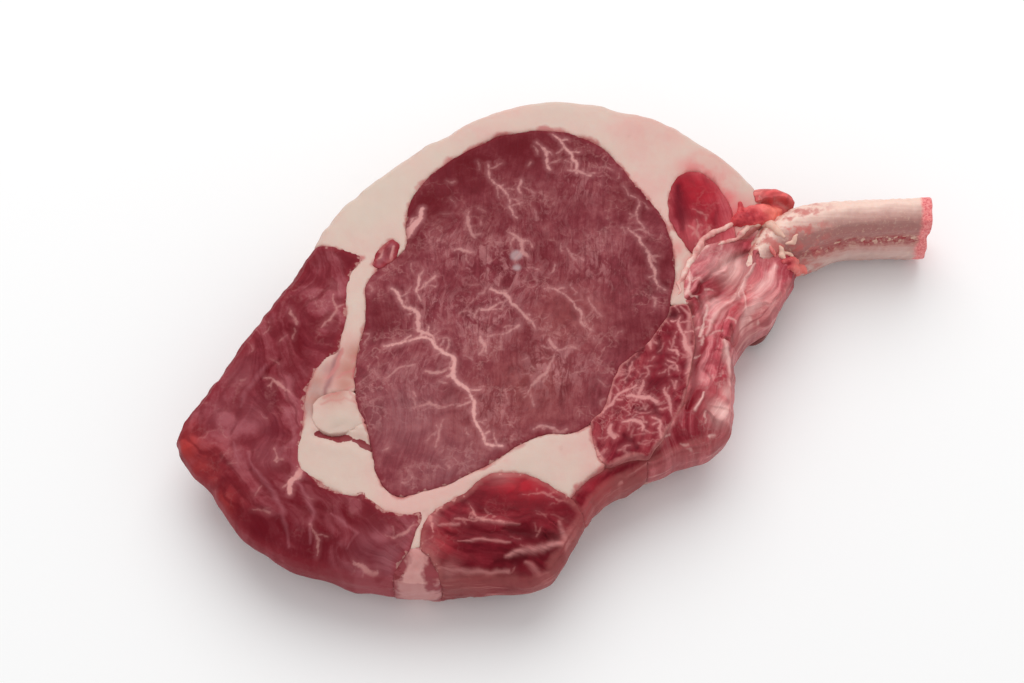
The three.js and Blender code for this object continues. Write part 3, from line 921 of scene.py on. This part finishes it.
cornerMuscle = {
    **plainCut, "seed": 7, "voxel": 0.6, "grain": 100, "sway": 1.5, "bundle": (14.0, 5.0), "bundleHigh": 0.12,
    "dome": 0.6, "ridgeHigh": 0.3, "grooveDeep": 0.4, "twigReach": 3.0, "twigWidth": 0.6,
    "veins": (
        (0.40, 0.42, -82, ((6, 0), (5, 8)), 1.0, 0.5),
        (0.28, 0.34, -62, ((6, 0),), 0.8, 0.5),
        (0.60, 0.32, -92, ((7, 0),), 0.9, 0.5),
        (0.50, 0.18, -70, ((5, 0),), 0.8, 0.5),
        (0.36, 0.54, 10, ((5, 0),), 0.6, 0.4),
    ),
    "ridges": ((0.36, 0.40, -85, ((9, 0),), 1.8, 0.6), (0.56, 0.32, -88, ((7, 0),), 1.4, 0.5),
               (0.24, 0.34, -75, ((5, 0),), 1.2, 0.5)),
    "grooves": ((0.14, 0.80, -95, ((10, 0), (5, 20)), 5.5, 1.0), (0.72, 0.5, -95, ((7, 0),), 1.8, 0.5)),
    # the pale patches round its edges are partly a painted highlight, partly its pale fat-tinged border
    "palePatches": ((0.40, 0.22, 5, 0.5), (0.98, 0.98, 6, 1.0), (1.08, 0.7, 6, 1.0),
                    (0.6, 1.12, 5, 0.9), (1.05, 0.4, 5, 0.9), (0.85, 0.15, 5, 0.7)),
    "brightPatches": ((0.45, 0.80, 9, 1.0), (0.6, 0.4, 6, 0.6)),
    "finish": {
        **redFinish, "dark": (124, 16, 32), "middle": (158, 38, 52), "light": (192, 86, 96),
        "bright": (172, 26, 42), "deep": (104, 8, 26), "net": 0.2, "between": 0.15,
        "pale": (214, 104, 110), "film": 0.1, "fatty": 0.3, "fatColour": (220, 130, 128),
    },
}

ribSideMuscle = {
    **plainCut, "seed": 8, "voxel": 0.6, "grain": 62, "sway": 2.5, "bundle": (8.0, 4.0), "bundleHigh": 0.3,
    "dome": 0.3, "ridgeHigh": 0.5, "grooveDeep": 0.9, "twigReach": 4.0, "twigWidth": 0.6,
    # the many pale flecks are partly its fine net of pale threads, partly painted highlight for the wet
    # glints that its low gloss leaves out
    "flecks": (130, 4.5, 0.45, 0.6),
    "veins": (
        (0.87, 0.92, -130, ((4, 0), (3, 20), (7, 30), (5, -15), (4, -20), (3, 20)), 1.1, 0.9),
        (0.60, 0.82, -110, ((4, 0), (3, 40)), 0.9, 0.7),
        (0.75, 0.70, -20, ((2.5, 0), (2, -70)), 0.9, 0.8),
        (0.73, 0.63, -15, ((2.5, 0), (3, -50)), 0.9, 0.8),
        (0.34, 0.40, 35, ((2, 0), (5, -45), (3, -15)), 1.2, 0.9),
        (0.10, 0.30, 65, ((3, 0), (6, -12), (6, -16)), 1.1, 0.8),
        (0.28, 0.235, -5, ((4, 0), (3, -35), (3, -25)), 1.0, 0.9),
        (0.57, 0.275, -45, ((3, 0), (3, -50), (3, 60)), 1.0, 0.8),
        (0.18, 0.225, -85, ((3, 0), (2.5, 55)), 1.4, 0.8),
        (0.50, 0.50, -120, ((4, 0), (4, 20)), 1.0, 0.7),
        (0.70, 0.45, -80, ((5, 0), (4, 20)), 1.0, 0.7),
        (0.40, 0.62, -100, ((4, 0), (4, -15)), 0.9, 0.6),
    ),
    "ridges": (
        (0.66, 0.97, -125, ((6, 0), (8, -8), (8, 5), (6, 20), (6, 20), (5, 5)), 1.7, 0.8),
        (0.88, 0.98, -35, ((4, 0), (4, -45), (6, -20), (5, 15), (8, -15), (6, 10), (4, 10)), 1.8, 0.8),
    ),
    "grooves": (
        (0.72, 0.93, 0, ((4, 0),), 3.4, 0.9),
        (0.52, 0.72, -120, ((8, 0), (6, 0)), 2.4, 0.8),
        (0.66, 0.78, -90, ((5, 0),), 2.2, 0.8),
        (0.42, 0.33, -20, ((5, 0),), 2.8, 0.7),
        (0.30, 0.16, -40, ((6, 0),), 2.4, 0.7),
        (0.60, 0.38, -80, ((6, 0),), 2.2, 0.7),
    ),
    "finish": {
        **redFinish, "dark": (98, 8, 24), "middle": (126, 22, 38), "light": (160, 60, 68),
        "bundleTone": 0.1, "between": 0.2,
        "deep": (82, 4, 18), "pale": (214, 144, 142), "vein": (214, 144, 142),
        "net": 0.5, "netScale": 240.0, "curlScale": 200.0, "curls": 1.0, "gloss": 0.36,
        "halo": 0.55, "film": 0.5, "filmReach": 0.8, "filmColour": (214, 140, 136),
    },
}

smallMuscle = {
    **plainCut, "seed": 9, "voxel": 0.5, "grain": 55, "sway": 1.0, "bundle": (6.0, 3.0), "bundleHigh": 0.2,
    "twigReach": 2.5, "twigWidth": 0.7,
    "veins": ((0.1, 0.25, 50, ((7, 0), (5, -10)), 1.2, 0.8), (0.8, 0.75, -120, ((5, 0),), 1.0, 0.7)),
    "finish": {**capMuscle["finish"], "film": 0.7, "filmColour": (150, 36, 46)},
}

handleScrap = {
    **plainCut, "seed": 10, "voxel": 0.5, "grain": 5, "sway": 1.0, "bundle": (7.0, 3.0), "bundleHigh": 0.8,
    "twigReach": 1.5, "twigWidth": 0.5,
    "veins": ((0.5, 0.5, 10, ((5, 0),), 0.8, 0.6),),
    "brightPatches": ((0.6, 0.6, 6, 0.9),),
    "finish": {
        **redFinish, "dark": (190, 62, 70), "middle": (222, 96, 96),
        "light": (242, 150, 142), "bright": (234, 100, 98), "wall": (200, 74, 80),
    },
}

# the flap low under the slab's edge: its dark, dull tones are partly its own underside skin, partly painted
# shade
underFlap = {
    **plainCut, "seed": 12, "voxel": 0.6, "topLow": 2, "grain": 50, "sway": 1.0, "bundle": (9.0, 3.0),
    "bundleHigh": 0.4, "twigReach": 1.5, "twigWidth": 0.5,
    "finish": {
        **redFinish, "dark": (84, 34, 36), "middle": (112, 54, 54),
        "light": (140, 90, 84), "bright": (130, 70, 70), "wall": (104, 54, 54),
        "film": 0.2,
    },
}

# the strip of meat and skin over the rib

ribStrip = {
    **plainCut, "seed": 13, "voxel": 0.6, "grain": 62, "sway": 2.0, "bow": 0.6, "bundle": (24.0, 4.5),
    "bundleHigh": 0.4, "dome": 0.6, "ridgeHigh": 1.0, "grooveDeep": 1.4,
    "twigReach": 5.0, "twigWidth": 0.8, "flecks": (40, 5.0, 0.6, 0.6),
    "veins": (
        (0.55, 0.93, -140, ((8, 0), (8, 8)), 1.0, 0.8),
        (0.40, 0.63, -75, ((6, 0), (5, -10)), 1.0, 0.7),
        (0.30, 0.80, -110, ((8, 0), (8, 5), (8, 8)), 1.2, 0.8),
    ),
    # ridges, painted pale as well as raised: partly painted highlight on the wet membrane, partly its own
    # pale colour
    "ridges": (
        (0.95, 0.95, 172, ((8, 0), (10, 25), (9, 15), (8, 12), (6, 8)), 2.6, 1.0),
        (0.72, 0.80, -120, ((8, 0), (8, 3), (8, -5), (7, 5)), 2.6, 0.85),
        (0.62, 0.70, -85, ((8, 0), (8, 8), (7, 10)), 1.6, 0.8),
        (0.86, 0.80, -118, ((9, 0), (9, 8), (8, 5)), 4.2, 0.75),
        (0.68, 0.60, -92, ((6, 0), (6, -15), (4, -30)), 2.8, 1.0),
        (0.50, 0.50, -88, ((6, 0), (5, 12), (5, 20)), 2.2, 0.9),
        (0.60, 0.44, -100, ((6, 0), (6, -8)), 2.8, 0.7),
        (0.57, 0.36, -88, ((7, 0), (6, -8)), 2.8, 1.0),
        (0.36, 0.28, -95, ((7, 0),), 1.2, 0.8),
    ),
    "grooves": (
        (0.70, 0.88, -155, ((6, 0), (8, 12), (8, 12), (7, 8)), 2.4, 1.0),
        (0.35, 0.66, -75, ((5, 0), (5, -15)), 3.0, 0.8),
        (0.30, 0.62, -80, ((8, 0), (7, -5), (7, -8), (7, -8), (7, -8)), 4.4, 1.0),
        (0.14, 0.20, 15, ((7, 0),), 2.8, 0.7),
        (0.52, 0.72, -125, ((8, 0),), 2.0, 0.6),
        (0.55, 0.55, -90, ((6, 0),), 2.0, 0.7),
    ),
    "brightPatches": ((0.42, 0.25, 7, 0.5), (0.62, 0.66, 8, 0.5), (0.30, 0.52, 6, 0.3)),
    # pale patches: partly painted highlight on the glossy membrane, partly the membrane's own pale colour
    "palePatches": ((0.46, 0.21, 4, 1.0), (0.52, 0.28, 3, 0.8), (0.575, 0.79, 6, 0.9),
                    (0.46, 0.63, 4, 0.5),
                    (0.80, 0.66, 6, 0.45), (0.70, 0.56, 5, 0.5)),
    "deepPatches": ((0.24, 0.24, 8, 1.0), (0.30, 0.50, 7, 0.7), (0.30, 0.38, 5, 0.8), (0.42, 0.74, 8, 0.4),
                    (0.04, 0.05, 16, 1.0), (0.30, 0.08, 11, 0.9)),
    "finish": {
        **redFinish, "dark": (142, 26, 44), "middle": (194, 76, 88),
        "light": (232, 142, 146), "deep": (112, 6, 24), "bright": (204, 56, 66),
        "pale": (246, 194, 188), "vein": (244, 200, 192), "filmColour": (226, 150, 144),
        # the sides' darker red is partly the skin over the rib, partly painted shade
        "wall": (146, 44, 58), "film": 0.2, "streakScale": 0.5, "streak": 0.6, "net": 0.3, "gloss": 0.34,
        "bundleTone": 0.3, "between": 0.4, "bump": 0.4, "skin": wetSkin,
    },
}

meats = (
    ("rib_eye", "eyeOfRib", "eye_muscle", eyeMuscle),
    ("cap_muscle", "wrapMuscle", "outer_muscle", capMuscle),
    ("front_muscle", "frontDome", "red_muscle", frontMuscle),
    ("narrow_muscle", "narrowBand", "red_muscle", narrowMuscle),
    ("corner_muscle", "cornerMuscle", "red_muscle", cornerMuscle),
    ("rib_side_muscle", "ribSideMuscle", "outer_muscle", ribSideMuscle),
    ("rib_strip", "ribMeat", "rib_meat", ribStrip),
    ("small_muscle", "smallMuscle", "outer_muscle", smallMuscle),
    ("handle_scrap", "handleScrap", "red_muscle", handleScrap),
    ("under_flap", "underFlap", "dark_skin", underFlap),
)


# the fat

fatTones = {
    "cream": (208, 186, 172), "middle": (211, 179, 167), "pink": (214, 168, 159),
    "blush": (214, 96, 100), "fold": (160, 106, 104), "line": (196, 116, 112),
    "stain": (184, 92, 92), "wall": (196, 160, 148), "raw": (134, 42, 48),
    "tendon": (182, 116, 102), "bleed": 0.8, "bleedReach": 1.3, "bleedRagged": 5.0,
    "wallShare": 0.6, "fineScale": 520.0, "mottleScale": 150.0, "broadScale": 30.0,
}

plainFat = {
    **plainCut, "grain": 90, "sway": 2.0, "bundle": (18.0, 9.0), "bundleHigh": 0.04, "dome": 0.1,
    "twigReach": 2.5, "twigWidth": 0.4, "finish": fatTones,
}

fatCover = {
    **plainFat, "seed": 14, "voxel": 1.0, "ridgeHigh": 0.5, "grooveDeep": 0.5, "sink": 0.15, "slitDeep": 2.2,
    "veins": (
        (0.14, 0.42, -150, ((4, 0), (4, 40)), 0.8, 0.7),
        (0.15, 0.37, 170, ((5, 0), (6, 35)), 0.8, 0.7),
        (0.13, 0.34, 175, ((5, 0), (5, 30)), 0.7, 0.6),
        (0.09, 0.42, -110, ((6, 0), (5, -20)), 1.0, 0.8),
    ),
    "ridges": (
        (0.06, 0.405, -114, ((7, 0), (7, 5), (5, 10)), 3.0, 0.7),
        (0.55, 0.10, -95, ((6, 0),), 2.0, 0.5),
    ),
    # the grooves are also painted darker: painted shade
    "grooves": (
        (0.60, 0.12, -60, ((3, 0), (3, -10)), 0.9, 0.7),
        (0.68, 0.13, -80, ((6, 0),), 1.4, 0.6),
        (0.71, 0.13, -75, ((6, 0),), 1.2, 0.5),
        (0.085, 0.415, -118, ((7, 0), (7, 8), (4, 6)), 2.2, 1.0),
        (0.05, 0.33, -80, ((5, 0),), 1.2, 0.5),
    ),
    "slits": (
        (0.045, 0.240, -8, ((5, 0), (5, -8)), 3.0, 1.0),
        (0.120, 0.224, -30, ((6, 0),), 2.2, 0.9),
    ),
    # darker patches beside the fold: painted shade
    "deepPatches": ((0.022, 0.29, 3.5, 0.55), (0.035, 0.33, 3.5, 0.55), (0.06, 0.375, 3, 0.5)),
    "rawPatches": ((0.16, 0.33, 1.6, 0.6), (0.845, 0.68, 2.4, 0.7)),
    "cloudyPatches": ((0.104, 0.375, 5, 1.0), (0.115, 0.405, 4, 0.9), (0.10, 0.345, 4, 0.9),
                     (0.035, 0.31, 3, 0.8), (0.04, 0.35, 3, 0.7)),
    "palePatches": ((0.25, 0.75, 24, 0.6), (0.5, 0.08, 14, 0.5), (0.10, 0.18, 10, 0.5)),
    "brightPatches": ((0.86, 0.82, 9, 0.6), (0.76, 0.93, 12, 0.25), (0.834, 0.825, 6, 0.7),
                      (0.872, 0.80, 6, 1.0), (0.897, 0.762, 6, 1.0), (0.91, 0.72, 9, 1.0),
                      (0.785, 0.56, 5, 0.5), (0.76, 0.47, 5, 0.5),
                      (0.06, 0.36, 4, 0.4), (0.79, 0.64, 4, 0.7), (0.063, 0.27, 4, 0.25),
                      (0.83, 0.70, 5, 0.6), (0.822, 0.615, 3.5, 1.0), (0.808, 0.58, 3, 0.8)),
}

fatNub = {
    **plainFat, "seed": 15, "voxel": 0.5, "dome": 0.4, "sink": 0.6,
    "veins": (
        (0.15, 0.70, 28, ((4, 0), (5, -28), (5, -25)), 0.5, 0.5),
        (0.20, 0.85, 15, ((4, 0), (5, -20), (4, -25)), 0.6, 0.6),
    ),
    "palePatches": ((0.5, 0.3, 6, 0.8),),
    "cloudyPatches": ((0.4, 1.0, 5, 0.8), (0.9, 0.7, 3, 0.4)),
}

frontFat = {
    **plainFat, "seed": 16, "voxel": 0.5, "grain": 100, "bundle": (10.0, 3.0), "bundleHigh": 0.3, "sink": 0.2,
    "rawPatches": ((0.1, 0.4, 2.5, 0.7), (0.9, 0.6, 2.5, 0.7)),
    "brightPatches": ((0.5, 0.5, 12, 0.5),),
    "finish": {
        **fatTones, "cream": (222, 174, 168), "middle": (208, 150, 146),
        "pink": (194, 124, 124), "blush": (202, 132, 128), "wall": (170, 104, 106),
        "stain": (144, 48, 58), "wallShare": 0.5, "bleed": 0.95, "bleedReach": 4.2, "bleedRagged": 22.0,
    },
}

fats = (
    ("fat_cover", "fatCover", "fat", fatCover),
    ("fat_nub", "fatNub", "fat", fatNub),
    ("front_fat", "frontFat", "fat", frontFat),
)

walls = {}
for node, name, slot, look in meats + fats:
    refineTop(refineCut(node, name, look["voxel"]), look)
    walls[name] = wallOf(bpy.data.objects[name], look)
print("cut into", len(walls), "pieces")

meatWall, fatWall = (
    np.concatenate([walls[name][0] for _, name, _, _ in kinds]) for kinds in (meats, fats))
for kinds, makeFinish, otherWall in ((meats, muscleFinish, fatWall), (fats, fatFinish, meatWall)):
    for node, name, slot, look in kinds:
        piece = bpy.data.objects[name]
        finishCut(piece, node, look, walls, otherWall)
        giveTo(piece, node, slot, makeFinish(name + "Finish", look["finish"]))
        print(name, len(piece.data.polygons), "faces")


# the rib

ribBone = {
    "voxel": 0.55,
    "bareFrom": 0.62,     # share of the rib's length along X past which it is bare
    "slice": 3.0,         # mm, the section's middle is worked out slice by slice
    "flatness": 0.55,     # how much less the section's height counts than its width
    "relief": (0.22, 9, 51), "fineRelief": (0.08, 3, 52),  # mm, over what size, and a seed
    "reliefPull": (0.4, 1, 1),
    "grooveAt": 0.3, "grooveWide": 0.028, "grooveDeep": 0.5,  # share of the way round, and mm
    "grooveStart": (-6, 4), "rootFade": (-2, 12),  # mm past the start of the bare part
    "endReach": 7.0,      # mm from the sawn end over which the red fades
    "endTurn": (0.6, 0.95),  # how squarely the sawn face looks along X
    # round the section from below: under, front, top, back, and under again; the light top and the dark
    # underside are painted light and painted shade, the red bands by the groove are the bone's own colour
    "bands": (
        (0.00, (140, 84, 82)), (0.14, (196, 156, 148)), (0.20, (212, 178, 170)),
        (0.255, (200, 146, 138)), (0.29, (168, 84, 82)), (0.33, (172, 108, 104)),
        (0.40, (170, 116, 110)), (0.47, (204, 160, 150)), (0.54, (240, 206, 192)),
        (0.64, (232, 196, 182)), (0.75, (190, 144, 134)), (1.00, (140, 84, 82))),
    "end": (244, 152, 148), "marrow": (220, 100, 104),
    "fleck": (224, 190, 168), "blood": (160, 44, 50), "rootMeat": (196, 96, 92),
    "fineScale": 900.0, "mottleScale": 240.0, "streakPull": (0.05, 0.7, 0.7),
    "bloodScale": 420.0, "lumpScale": 560.0, "poreScale": 1300.0,
}


def boneFinish(name, look):
    skin = Finish(name, look)
    span, mark, times = skin.span, skin.mark, skin.times
    streak = skin.noise(1.0, 5.0, 0.6, at=skin.grain(look["streakPull"]))
    fine = skin.noise(look["fineScale"], 4.0, 0.65)
    mottle = skin.noise(look["mottleScale"], 3.0)
    girth = skin.stray(skin.stray(mark("girth"), streak, 0.1), mottle, 0.06)
    # painted light and shade round the section: lighter on top, darker underneath
    skin.colour = skin.ramp(girth, look["bands"])
    skin.paint(span(fine, 0.52, 0.7, 0.0, 0.35), "fleck")
    blood = skin.noise(look["bloodScale"], 2.0)
    skin.paint(times(mark("groove"), span(blood, 0.5, 0.6)), "blood")
    lumps = skin.noise(look["lumpScale"], 1.0)
    skin.paint(times(mark("groove"), span(lumps, 0.56, 0.62, 0.0, 0.8)), "fleck")
    skin.paint(times(mark("root"), span(mottle, 0.45, 0.62, 0.0, 0.8)), "rootMeat")
    sawnFace = skin.toneRamp(skin.noise(look["poreScale"], 3.0, 0.7), (0.4, "marrow"), (0.6, "end"))
    skin.paint(span(skin.stray(mark("sawn"), mottle, 0.8), 0.25, 0.7), sawnFace)
    height = skin.mix((streak, 1.0), (fine, 0.4), (mottle, 0.4))
    return skin.close(span(fine, 0.3, 0.7, 0.36, 0.52), height, 0.4, 0.5, fatSkin)


def makeRib(look):
    piece = refineCut("rib_bone", "ribBone", look["voxel"])
    mesh = piece.data
    points, normals = meshPoints(mesh)
    low, high = nodeBox("rib_bone")
    bare = points[:, 0] - low[0] - look["bareFrom"] * (high[0] - low[0])
    slices = np.arange(low[0], high[0] + look["slice"], look["slice"])
    centres = np.array([points[np.abs(points[:, 0] - x) < look["slice"], 1].mean() for x in slices])
    off = points[:, 1] - np.interp(points[:, 0], slices, centres)
    rise = (points[:, 2] - (low[2] + high[2]) / 2) * look["flatness"]
    girth = np.mod((np.arctan2(rise, -off) + math.pi / 2) / (2 * math.pi), 1)
    toEnd = high[0] - points[:, 0]
    sawn = smoothStep(*look["endTurn"], normals[:, 0])
    sawn = np.maximum(sawn, 1 - smoothStep(0, look["endReach"], toEnd))
    groove = np.exp(-((girth - look["grooveAt"]) / look["grooveWide"]) ** 2)
    groove *= smoothStep(*look["grooveStart"], bare)
    root = 1 - smoothStep(*look["rootFade"], bare)
    writeGrain(mesh, points)
    writeValues(mesh, girth=girth, groove=groove, root=root, sawn=sawn)
    amount, size, seed = look["relief"]
    relief = amount * waveField(points * np.array(look["reliefPull"]), size, seed)
    amount, size, seed = look["fineRelief"]
    relief += amount * waveField(points, size, seed) - look["grooveDeep"] * groove
    moved = points + normals * relief[:, None]
    moved[:, 2] = np.maximum(moved[:, 2], 0)
    writePoints(mesh, moved)
    giveTo(piece, "rib_bone", "bone", boneFinish("ribBoneFinish", look))
    print("ribBone", len(mesh.polygons), "faces")


makeRib(ribBone)


# shreds of meat, skin and fat left round the root of the handle

shredLook = {
    "voxel": 0.35,
    "sink": 0.52,         # share of a shred's width that lies in the skin below
    "settleRounds": 14,
    "reliefHigh": 0.08, "reliefSize": 3.2,
    "mottleScale": 160.0, "fineScale": 1100.0,
    "dropFrom": 0.1,      # m, above all the pieces
    "lowest": 0.02,       # m, how high a shred lies where nothing is below it
}
# strands: share across and up the rib's box, heading, legs of (mm, turn) and width in mm
paleShreds = {
    "seed": 71, "slot": "fat", "under": ("ribBone", "ribMeat", "cornerMuscle", "fatCover"),
    "strands": (
        (0.200, 0.600, 62, ((8, 0), (8, -14), (8, -10), (8, -6), (6, -4)), 2.4),
        (0.430, 0.875, 10, ((5, 0), (5, -45), (4, -15)), 3.4),
        (0.330, 0.790, 34, ((7, 0), (7, -8), (6, -30)), 2.0),
        (0.540, 0.800, 15, ((3, 0), (3, 45)), 1.8),
        (0.535, 0.780, -15, ((3, 0), (3, -50)), 1.8),
        (0.520, 0.790, -60, ((3, 0), (2, 40)), 2.0),
    ),
    "dark": (204, 116, 116), "middle": (226, 164, 156), "light": (238, 204, 192), "tip": (228, 184, 166),
}
redShreds = {
    "seed": 72, "slot": "rib_meat", "under": ("ribBone", "ribMeat"),
    "strands": (
        (0.530, 0.740, -5, ((4, 0), (5, 15)), 3.4),
        (0.545, 0.720, 5, ((4, 0), (3, 20)), 3.0),
        (0.490, 0.790, -60, ((4, 0),), 2.4),
    ),
    "dark": (158, 42, 52), "middle": (206, 90, 92), "light": (236, 150, 142), "tip": (222, 120, 112),
}
scrapShreds = {
    "seed": 73, "slot": "red_muscle", "under": ("fatCover", "handleScrap", "ribMeat"),
    "strands": (
        (0.378, 0.875, 26, ((6, 0), (8, -10), (5, -4)), 5.6),
        (0.425, 0.920, 14, ((7, 0), (6, -8)), 6.2),
        (0.455, 0.940, 8, ((7, 0), (4, -10)), 5.0),
        (0.400, 0.910, 50, ((4, 0),), 2.8),
        (0.500, 0.945, -20, ((4, 0),), 2.8),
        (0.520, 0.925, 40, ((3, 0),), 2.2),
    ),
    "dark": (164, 42, 52), "middle": (210, 76, 80), "light": (236, 116, 112), "tip": (248, 134, 120),
}


def layHeight(pieces, x, y):
    # how high the pieces' skin lies at a place, in metres
    tops = []
    for piece in pieces:
        hit, spot, _, _ = piece.ray_cast(Vector((x, y, shredLook["dropFrom"])), Vector((0, 0, -1)))
        if hit:
            tops.append(spot.z)
    return max(tops, default=shredLook["lowest"])


def shredFinish(name, look):
    skin = Finish(name, look)
    mottle = skin.noise(shredLook["mottleScale"], 3.0)
    fine = skin.noise(shredLook["fineScale"], 3.0, 0.6)
    shade = skin.stray(mottle, fine, 0.2)
    skin.colour = skin.toneRamp(shade, (0.34, "dark"), (0.5, "middle"), (0.66, "light"))
    skin.paint(skin.span(skin.stray(skin.mark("tip"), mottle, 0.6), 0.45, 0.95), "tip")
    height = skin.mix((mottle, 0.6), (fine, 0.4))
    return skin.close(skin.span(fine, 0.3, 0.7, 0.3, 0.48), height, 0.25, 0.3, wetSkin)


def makeShreds(name, look):
    draw = random.Random(look["seed"])
    pieces = [bpy.data.objects[one] for one in look["under"]]
    beads = []
    for across, up, heading, legs, width in look["strands"]:
        line = walk(boxPlace("rib_bone", across, up), heading, legs, width, draw)
        for (x, y), wide in zip(line["path"] * mm, line["widths"]):
            radius = wide * mm / 2
            height = layHeight(pieces, x, y) + radius - shredLook["sink"] * wide * mm
            bpy.ops.mesh.primitive_ico_sphere_add(
                subdivisions=2, radius=radius, location=(x, y, height))
            beads.append(bpy.context.active_object)
    pickOnly(beads[0])
    for bead in beads:
        bead.select_set(True)
    bpy.ops.object.join()
    piece = bpy.context.active_object
    piece.name = name
    bpy.ops.object.transform_apply(location=True, rotation=False, scale=False)
    remesh(piece, shredLook["voxel"])
    settle(piece, shredLook["settleRounds"])
    points, normals = meshPoints(piece.data)
    writeValues(piece.data, tip=smoothStep(points[:, 0].min(), points[:, 0].max(), points[:, 0]))
    relief = shredLook["reliefHigh"] * waveField(points, shredLook["reliefSize"], look["seed"])
    writePoints(piece.data, points + normals * relief[:, None])
    piece.data.materials.append(shredFinish(name + "Finish", look))
    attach(piece, "root")
    print(name, len(piece.data.polygons), "faces")


makeShreds("paleShreds", paleShreds)
makeShreds("redShreds", redShreds)
makeShreds("scrapShreds", scrapShreds)


# stage, light and camera

stage = {
    "floorSize": 6.0, "floorTone": (0.97, 0.97, 0.97, 1.0), "floorShade": (0.955, 0.955, 0.955, 1.0),
    "floorMottle": 3.0, "skyStrength": 0.68,
    "keyPlace": (0.0, 0.85, 1.2), "keySize": 1.6, "keyPower": 11.9,
    "lens": 85.0, "distance": 0.8, "elevation": 64.0,
    "lookAt": (-16.53 * mm, 2.12 * mm, 15 * mm),
}


def makeFloor():
    bpy.ops.mesh.primitive_plane_add(size=stage["floorSize"], location=(0, 0, 0))
    floor = bpy.context.active_object
    floor.name = "floor"
    finish = Finish("paleFloor", {})
    shade = finish.put("ShaderNodeMix", {
        0: finish.noise(stage["floorMottle"], 2.0), 6: stage["floorTone"], 7: stage["floorShade"]},
        data_type="RGBA")
    finish.tree.links.new(shade.outputs[2], finish.shader.inputs["Base Color"])
    finish.shader.inputs["Roughness"].default_value = 0.8
    finish.shader.inputs["Specular IOR Level"].default_value = 0.1
    floor.data.materials.append(finish.material)


def makeLight():
    world = bpy.data.worlds.new("softSky")
    world.use_nodes = True
    sky = world.node_tree.nodes["Background"]
    sky.inputs["Color"].default_value = (1, 1, 1, 1)
    sky.inputs["Strength"].default_value = stage["skyStrength"]
    bpy.context.scene.world = world
    light = bpy.data.lights.new("key", "AREA")
    light.shape = "DISK"
    light.size = stage["keySize"]
    light.energy = stage["keyPower"]
    lamp = bpy.data.objects.new("key", light)
    bpy.context.scene.collection.objects.link(lamp)
    lamp.location = stage["keyPlace"]
    lamp.rotation_euler = (-Vector(stage["keyPlace"])).to_track_quat("-Z", "Y").to_euler()


def makeCamera():
    lens = bpy.data.cameras.new("view")
    lens.lens = stage["lens"]
    lens.clip_start = 0.01
    camera = bpy.data.objects.new("view", lens)
    bpy.context.scene.collection.objects.link(camera)
    tilt = math.radians(stage["elevation"])
    back = Vector((0, -math.cos(tilt), math.sin(tilt)))
    camera.location = Vector(stage["lookAt"]) + stage["distance"] * back
    camera.rotation_euler = (-back).to_track_quat("-Z", "Y").to_euler()
    bpy.context.scene.camera = camera


makeFloor()
makeLight()
makeCamera()
bpy.context.scene.view_settings.view_transform = "Standard"
print("stage set")
